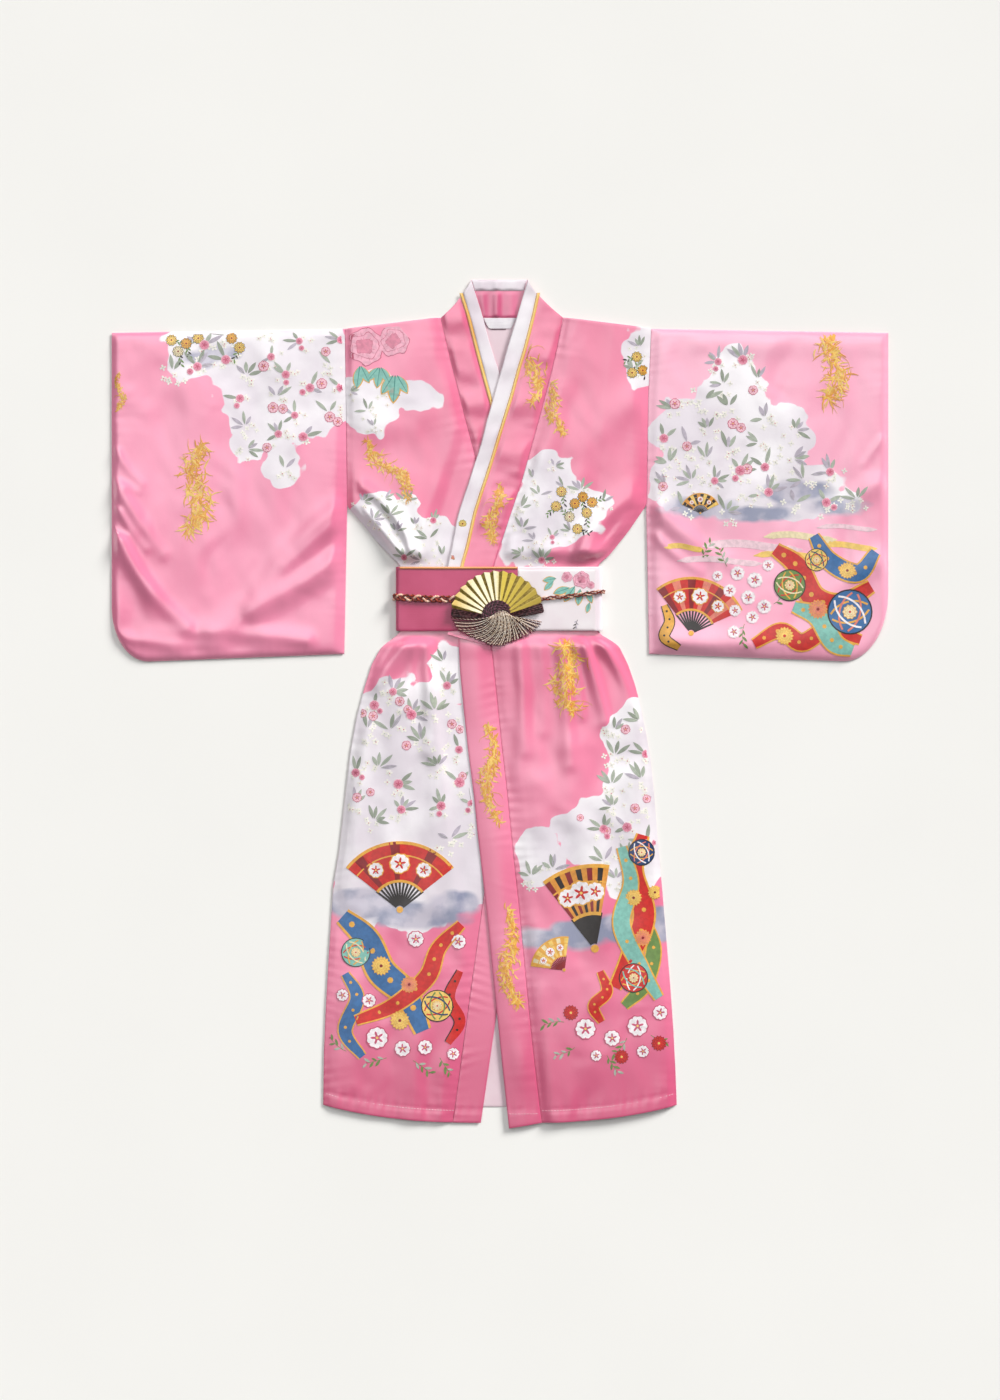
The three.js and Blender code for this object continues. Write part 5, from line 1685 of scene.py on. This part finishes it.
def cord_route():
    bend = BELT_TOP_Z / 2
    reach = bend + 2 * GAP + CORD_HALF

    def around(x, y, top, degrees):
        a = math.radians(degrees)
        return x + reach * math.cos(a), y, bend + (top - bend) * math.sin(a)

    on_belt, on_panel = CORD_Z["belt"], CORD_Z["panel"]
    points = [around(BELT["left"] + bend, 160, on_belt + GAP, d) for d in (180, 155, 130, 105)]
    points += [(-135, 159, on_belt + 0.2), (-110, 157.5, on_belt), (-90, 157.2, on_belt), (-70, 157, on_belt),
               (-45, 157, on_belt + 0.1), (-20, 157, on_belt + 0.3), (-2, 157, on_belt + 0.8),
               (14, 157, on_panel), (36, 157.2, on_panel), (60, 157.5, on_panel), (80, 159, on_panel),
               (100, 161, on_panel),
               (116, 163, on_panel), (132, 165, on_panel + 0.1)]
    points += [around(BELT["right"] - bend, 168, on_panel + 2 * GAP, d) for d in (80, 55, 30, 0)]
    return resample(curve(points, 12), 1.1)


def build_cord():
    """Three twisted strands in a flat braid, pinched thinner towards its right end."""
    route, gone = cord_route()
    along = np.gradient(route, axis=0)
    along /= np.linalg.norm(along, axis=1)[:, None]
    across = np.array([0.0, 1.0, 0.0]) - along * along[:, 1:2]
    across /= np.linalg.norm(across, axis=1)[:, None]
    out = np.cross(across, along)
    out *= np.sign(out[len(out) // 2, 2])
    pinch = 1 - 0.42 * ramp((route[:, 0] - 10) / 40)
    bundle = Bundle()
    for k in range(3):
        phase = 2 * math.pi * (gone / BRAID["pitch"] + k / 3)
        centre = (route + across * (BRAID["across"] * pinch * np.sin(phase))[:, None]
                  + out * (BRAID["deep"] * np.sin(2 * phase))[:, None])
        twist = 2 * math.pi * gone / 5.5
        for ply in range(3):
            turn = twist + 2 * math.pi * ply / 3
            spot = (centre + across * (BRAID["ply_across"] * pinch * np.cos(turn))[:, None]
                    + out * (BRAID["ply_deep"] * np.sin(turn))[:, None])
            bundle.add(*tube_mesh(spot, BRAID["ply"] * pinch, 7), slot=(0, 1, 2)[k] if ply else (1, 0, 2)[k])
    made = bundle.build("braid_cord_strands", [cord_red, cord_dark, cord_pale])
    return finish_piece(made, "cord", "braid_cord")


# The fan

def fan_leaf():
    """The pleated leaf: broad bright faces in gilt with painted reflection, and narrow ones between them in a
    darker gold that is painted shade.
    """
    pleat = ((0.0, 0.0), (0.16, 0.5), (0.32, 1.0), (0.40, 1.0), (0.84, 0.2), (0.93, 0.0))
    shares, heights = [], []
    for k in range(PLEATS["number"]):
        for share, height in pleat:
            shares.append((k + share) / PLEATS["number"])
            heights.append(height)
    shares.append(1.0)
    heights.append(0.0)
    radii = np.concatenate([np.linspace(PLEATS["inner"], PLEATS["radius"] - 1, 15), [PLEATS["radius"]]])
    radius, share = np.meshgrid(radii, shares, indexing="ij")
    height = np.broadcast_to(heights, share.shape)
    angle = np.radians(lerp(PLEATS["end"], PLEATS["start"], share))
    bulge = 1 + 0.03 * (height - 0.5) * (radius > PLEATS["radius"] - 2)
    x = PLEATS["x"] + radius * bulge * np.cos(angle)
    y = PLEATS["y"] + radius * bulge * np.sin(angle)
    low = FAN["z"] + 2.0 * radius / PLEATS["radius"] * height
    flip = np.s_[:, ::-1]
    x, y, low = x[flip], y[flip], low[flip]
    made = shell("fan_leaf_gold", x, y, low + 0.75, low, [fan_gold, fan_gold_painted_shade], angle=12)
    columns = len(shares) - 1
    # The narrow faces take the darker gold: painted shade in the pleats' valleys.
    for face in range(columns * (len(radii) - 1)):
        from_left = (columns - 1 - face % columns) % len(pleat)
        made.data.polygons[face].material_index = 1 if from_left in (0, 1, 5) else 0
    return finish_piece(made, "fan_gold", "fan_leaf")


def fan_guard(name, degrees, tip_half):
    """A dark guard stick with ribs along it, wider at its tip."""
    inner, shoulder, outer = GUARD["inner"], GUARD["shoulder"], GUARD["outer"]
    radii = np.concatenate([np.linspace(inner, shoulder, 30), [67.5, 68.8, 69.6, outer]])
    radius, part = np.meshgrid(radii, np.linspace(-1, 1, 29), indexing="ij")
    half = lerp(GUARD["root_half"], tip_half, (radius - inner) / (shoulder - inner))
    tip = np.clip((radius - shoulder) / (outer - shoulder), 0, 1)
    half = np.where(radius > shoulder, tip_half * np.sqrt(np.clip(1 - 0.5 * tip ** 2, 0, 1)), half)
    rib = 0.5 + 0.5 * np.cos(part * math.pi * 5)
    knots = 0.5 + 0.5 * np.sin(radius * 2 * math.pi / 2.4 + 3 * part)
    edge_fall = np.exp(-(1 - np.abs(part)) * half / 0.7) + np.exp(-(outer - radius) / 0.7)
    height = FAN["z"] + 1.3 + 0.8 * rib + 0.3 * rib * knots - 0.7 * np.minimum(edge_fall, 1)
    a = math.radians(degrees)
    across = part * half
    x = PLEATS["x"] + radius * math.cos(a) - across * math.sin(a)
    y = PLEATS["y"] + radius * math.sin(a) + across * math.cos(a)
    flip = np.s_[:, ::-1]
    made = shell(name + "_lacquer", x[flip], y[flip], height[flip], FAN["z"], [fan_dark, fan_dark])
    return finish_piece(made, "fan_dark", name)


def fan_hub():
    """A low dome wound with dark twisted cord."""
    bundle = Bundle()
    sides, profile = HUB["sides"], HUB_PROFILE
    a = circle(sides)
    points = [(FAN["x"], FAN["y"], FAN["z"] + profile[0][1])]
    for r, z in profile[1:-1]:
        points += [(FAN["x"] + r * math.cos(t), FAN["y"] + r * math.sin(t), FAN["z"] + z) for t in a]
    points.append((FAN["x"], FAN["y"], FAN["z"]))
    faces = [[0, 1 + i, 1 + (i + 1) % sides] for i in range(sides)]
    for k in range(len(profile) - 3):
        p, q = 1 + k * sides, 1 + (k + 1) * sides
        faces += [[p + i, q + i, q + (i + 1) % sides, p + (i + 1) % sides] for i in range(sides)]
    last = 1 + (len(profile) - 3) * sides
    faces += [[last + (i + 1) % sides, last + i, last + sides] for i in range(sides)]
    bundle.add(np.array(points), faces)
    t = np.linspace(0, HUB["turns"], HUB["points"])
    radius = HUB["first"] - HUB["step"] * t
    height = np.interp(radius, [0, 9, 14, 18, 21, 22.6], [4.0, 3.5, 3.0, 2.2, 1.2, 0.6])
    gone = 2 * math.pi * (HUB["first"] * t - HUB["step"] / 2 * t * t)
    for ply in range(2):
        turn = 2 * math.pi * gone / 6.5 + math.pi * ply
        r = radius + 0.85 * np.cos(turn)
        z = FAN["z"] + height + 0.2 + 0.8 * np.sin(turn)
        angle = 2 * math.pi * t + 0.5
        route = np.column_stack([FAN["x"] + r * np.cos(angle), FAN["y"] + r * np.sin(angle), z])
        bundle.add(*tube_mesh(route, 1.15, 7), slot=ply + 1)
    made = bundle.build("fan_hub_winding", [fan_dark, hub_wine, hub_brown])
    return finish_piece(made, "fan_dark", "fan_hub")


def strand_route(share, shorten, raised):
    """One strand of the tassel, from the head it springs from, out and down to the belt."""
    angle = lerp(TASSEL["start"], TASSEL["end"], share)
    toward = direction(angle)
    leaving = direction(angle + np.interp(share, SWIRL["share"], SWIRL["degrees"]))
    reach = shorten / math.hypot(toward[0] / TASSEL["side"], toward[1] / TASSEL["down"])
    reach *= 1 - TASSEL["waist"] * math.sin(2 * math.radians(angle - 270)) ** 2
    head = np.array([TASSEL["root_x"], TASSEL["root_y"]])
    root = head + TASSEL["root_radius"] * (direction(lerp(168, 12, share)) * (1, 0.8))
    tip = np.array([FAN["x"], FAN["y"]]) + reach * toward
    bend = head + (0.5 * reach) * leaving
    t = np.linspace(0, 1, 44)[:, None]
    flat = (1 - t) ** 2 * root + 2 * t * (1 - t) * bend + t * t * tip
    t = t[:, 0]
    rise = TASSEL["root_z"] - 4 * (1 - ramp(t / 0.14))
    rise = rise - (TASSEL["root_z"] - TASSEL["tip_z"]) * ramp((t - 0.1) / 0.9)
    return resample(np.column_stack([flat, rise + raised * np.sin(math.pi * t)]), 1.25)


def fan_tassel():
    """Twisted strands that spring from a rounded head and part from each other towards their tips."""
    rng = random.Random(63)
    bundle = Bundle()
    for n in range(2 * TASSEL["strands"] - 1):
        beneath = n % 2
        share = (n / 2 + rng.uniform(-0.15, 0.15)) / (TASSEL["strands"] - 1)
        route, gone = strand_route(share, rng.uniform(0.95, 1.0), rng.uniform(-0.2, 0.6) - 1.5 * beneath)
        side, up = frames(route)
        spin = 2 * math.pi * gone / rng.uniform(5.4, 6.6) + rng.uniform(0, 6)
        thin = 0.4 + 0.6 * ramp(gone / 34)
        for ply in range(2):
            turn = spin + math.pi * ply
            spot = route + (side * np.cos(turn)[:, None] + up * np.sin(turn)[:, None]) * (0.5 * thin)[:, None]
            # Strands on top are mostly pale thread and strands beneath wholly brown and wine: the pale is
            # partly painted highlight, and the dark beneath is painted shade between the upper strands.
            pale_or_brown = 0 if ply or n % 3 else 1
            bundle.add(*tube_mesh(spot, 0.6 * thin, 5), slot=1 + ply if beneath else pale_or_brown)
        frayed_ends(bundle, route, rng)
    made = bundle.build("fan_tassel_strands", [tassel_pale, tassel_brown, tassel_wine])
    return finish_piece(made, "tassel", "fan_tassel")


def frayed_ends(bundle, route, rng):
    """A few loose threads past the end of a strand."""
    end = route[-1]
    ahead = route[-1] - route[-4]
    ahead /= np.linalg.norm(ahead)
    for _ in range(3):
        bend = np.array([rng.uniform(-0.5, 0.5), rng.uniform(-0.5, 0.5), -0.15])
        length = rng.uniform(1.2, 2.6)
        line = [end + ahead * length * t + bend * length * t * t for t in (0, 0.5, 1)]
        bundle.add(*tube_mesh(line, (0.3, 0.24, 0.12), 4), slot=2)


def cord_look(name, light, deep, roughness=0.45):
    look = Look(name, Roughness=roughness, Sheen_Weight=0.3, Specular_IOR_Level=0.6)
    look.base(look.mottled(420, 3, deep, light))
    return look.bump((look.noise(900, 2, stretch=(1, 0.3, 1)), 0.3, 0.0003)).material


def tassel_look(name, light, deep, tip):
    """Metallic thread that turns redder away from the tassel's head."""
    look = Look(name, Roughness=0.35, IOR=1.7)
    base = look.mottled(420, 3, deep, light)
    head = (TASSEL["root_x"] * MM, TASSEL["root_y"] * MM, TASSEL["root_z"] * MM)
    away = look.add("ShaderNodeVectorMath", {0: look.place, 1: head}, operation="DISTANCE").outputs["Value"]
    look.base(look.mix(look.range(away, 0.03, 0.062, 0.0, 0.75), base, tip))
    return look.bump((look.noise(900, 2, stretch=(1, 0.3, 1)), 0.3, 0.0003)).material


cord_red = cord_look("cord_rust", "B4401F", "7A2412")
cord_dark = cord_look("cord_dark", "6E2213", "431209")
cord_pale = cord_look("cord_copper", "F8DCCB", "D0875E", 0.3)
tassel_pale = tassel_look("tassel_pale", "FFF6E8", "D2B697", "D3B0A2")
tassel_brown = tassel_look("tassel_brown", "6B3B2C", "3A1D18", "6A2A26")
tassel_wine = cord_look("tassel_wine", "4E1B1E", "2E1014")
hub_wine = cord_look("hub_wine", "8A5566", "46202C", 0.35)
hub_brown = cord_look("hub_brown", "4A2A30", "26120F", 0.35)


def gold_look_painted_reflection():
    """Gilt cloth with painted reflection: creamy left of the middle and a deeper gold towards both ends."""
    look = Look("fan_gold_leaf_painted_reflection", Roughness=0.38, IOR=1.8)
    across = look.add("ShaderNodeSeparateXYZ", {0: look.place}).outputs["X"]
    # These cream and gold steps across x are painted reflection on the gilt.
    shade = look.mix(look.range(across, -0.066, -0.034), "DDBB62", "FFF8D6")
    shade = look.mix(look.range(across, -0.006, 0.002), shade, "E6CC55")
    shade = look.mix(look.range(across, 0.012, 0.055), shade, "D2B650")
    grain = look.range(look.noise(260, 3), 0.35, 0.65, 0.0, 0.2)
    look.base(look.mix(grain, shade, "C5A548"))
    return look.bump((look.weave(0.0009), 0.25, 0.0002), (look.noise(90, 3), 0.2, 0.0006)).material


def gold_painted_shade_look():
    # A darker copy of the gilt for the pleats' narrow faces: painted shade.
    look = Look("fan_gold_valley_painted_shade", Metallic=0.2, Roughness=0.5)
    look.base(look.mottled(260, 3, "7A6522", "AE9648"))
    return look.bump((look.weave(0.0009), 0.25, 0.0002)).material


def lacquer_look():
    look = Look("fan_dark_lacquer", Roughness=0.33, Coat_Weight=0.35, Coat_Roughness=0.25)
    look.base(look.mottled(330, 4, "261012", "6A4044", 0.42, 0.66))
    return look.bump((look.noise(500, 3), 0.4, 0.0004)).material


# The gilt of the broad pleat faces, with painted reflection.
fan_gold = gold_look_painted_reflection()
fan_gold_painted_shade = gold_painted_shade_look()
fan_dark = lacquer_look()


# The camera, straight above as in the photograph

PHOTO = dict(width=1000, height=1400, mm_per_pixel=1.5, centre=(0.0, 6.0))
LENS = dict(focal=85.0, sensor=36.0)


def build_camera():
    tall = PHOTO["height"] * PHOTO["mm_per_pixel"] * MM
    data = bpy.data.cameras.new("camera")
    data.lens = LENS["focal"]
    data.sensor_width = LENS["sensor"]
    camera = bpy.data.objects.new("camera", data)
    x, y = PHOTO["centre"]
    camera.location = (x * MM, y * MM, tall * LENS["focal"] / LENS["sensor"])
    bpy.context.scene.collection.objects.link(camera)
    bpy.context.scene.camera = camera


def build_sun():
    """A low sun from the upper right that leaves no glint of its own."""
    data = bpy.data.lights.new("key", "SUN")
    data.energy = SUN["strength"]
    data.angle = SUN["angle"]
    data.color = SUN["colour"]
    light = bpy.data.objects.new("key", data)
    away = Vector(SUN["direction"]).normalized()
    light.location = away * 3.0
    light.rotation_euler = away.to_track_quat("Z", "Y").to_euler()
    light.visible_glossy = False
    bpy.context.scene.collection.objects.link(light)


def build_sky():
    """A sky that is bright overhead and dim round its rim."""
    world = bpy.data.worlds.new("studio")
    world.use_nodes = True
    nodes, links = world.node_tree.nodes, world.node_tree.links
    place = nodes.new("ShaderNodeTexCoord")
    toward = nodes.new("ShaderNodeVectorMath")
    toward.operation = "DOT_PRODUCT"
    toward.inputs[1].default_value = Vector(SKY["direction"]).normalized()
    glow = nodes.new("ShaderNodeMapRange")
    glow.interpolation_type = "SMOOTHSTEP"
    steps = (("From Min", "rim_at"), ("From Max", "top_at"), ("To Min", "rim"), ("To Max", "top"))
    for socket, key in steps:
        glow.inputs[socket].default_value = SKY[key]
    links.new(place.outputs["Generated"], toward.inputs[0])
    links.new(toward.outputs["Value"], glow.inputs["Value"])
    links.new(glow.outputs[0], nodes["Background"].inputs["Strength"])
    nodes["Background"].inputs["Color"].default_value = SKY["colour"]
    bpy.context.scene.world = world
    bpy.context.scene.view_settings.view_transform = "Standard"


def build_floor():
    look = Look("paper_floor", Roughness=0.9)
    look.base(look.mottled(3, 2, "F3F2EE", "F5F4F0", 0.3, 0.7))
    look.bump((look.noise(300, 3), 0.05, 0.0004))
    reach = FLOOR["reach"]
    corners = [(x * reach, y * reach, FLOOR["z"]) for x, y in ((-1, -1), (1, -1), (1, 1), (-1, 1))]
    floor = make_object("floor", corners, [[0, 1, 2, 3]], [look.material])


build_camera()
build_sun()
build_sky()
build_floor()
body = build_body()
collar = build_collar()
neck_back, neck_white, label = build_neck()
sleeves = [build_sleeve(side) for side in ("right", "left")]
band, panel, belt_piping = build_belt()
tuck = build_tuck()
build_cord()
fan_leaf()
for name, guard in GUARDS.items():
    fan_guard(name, **guard)
fan_hub()
fan_tassel()
print_right_front()
print_left_front()
print_sleeve_right()
print_sleeve_left()
print_collars()
print_belt()
OVERLAP_HEM_DROP = (FRONT_HEM_DROP + FRONT_TIP_DROP) / 2
hem_stitches("hem_stitches_right", right_front_top, right_side, right_seam, FRONT_HEM_DROP)
hem_stitches("hem_stitches_left", left_front_top, left_seam, left_side, FRONT_HEM_DROP)
hem_stitches("hem_stitches_overlap", left_overlap_top, left_front_edge, left_seam, OVERLAP_HEM_DROP)
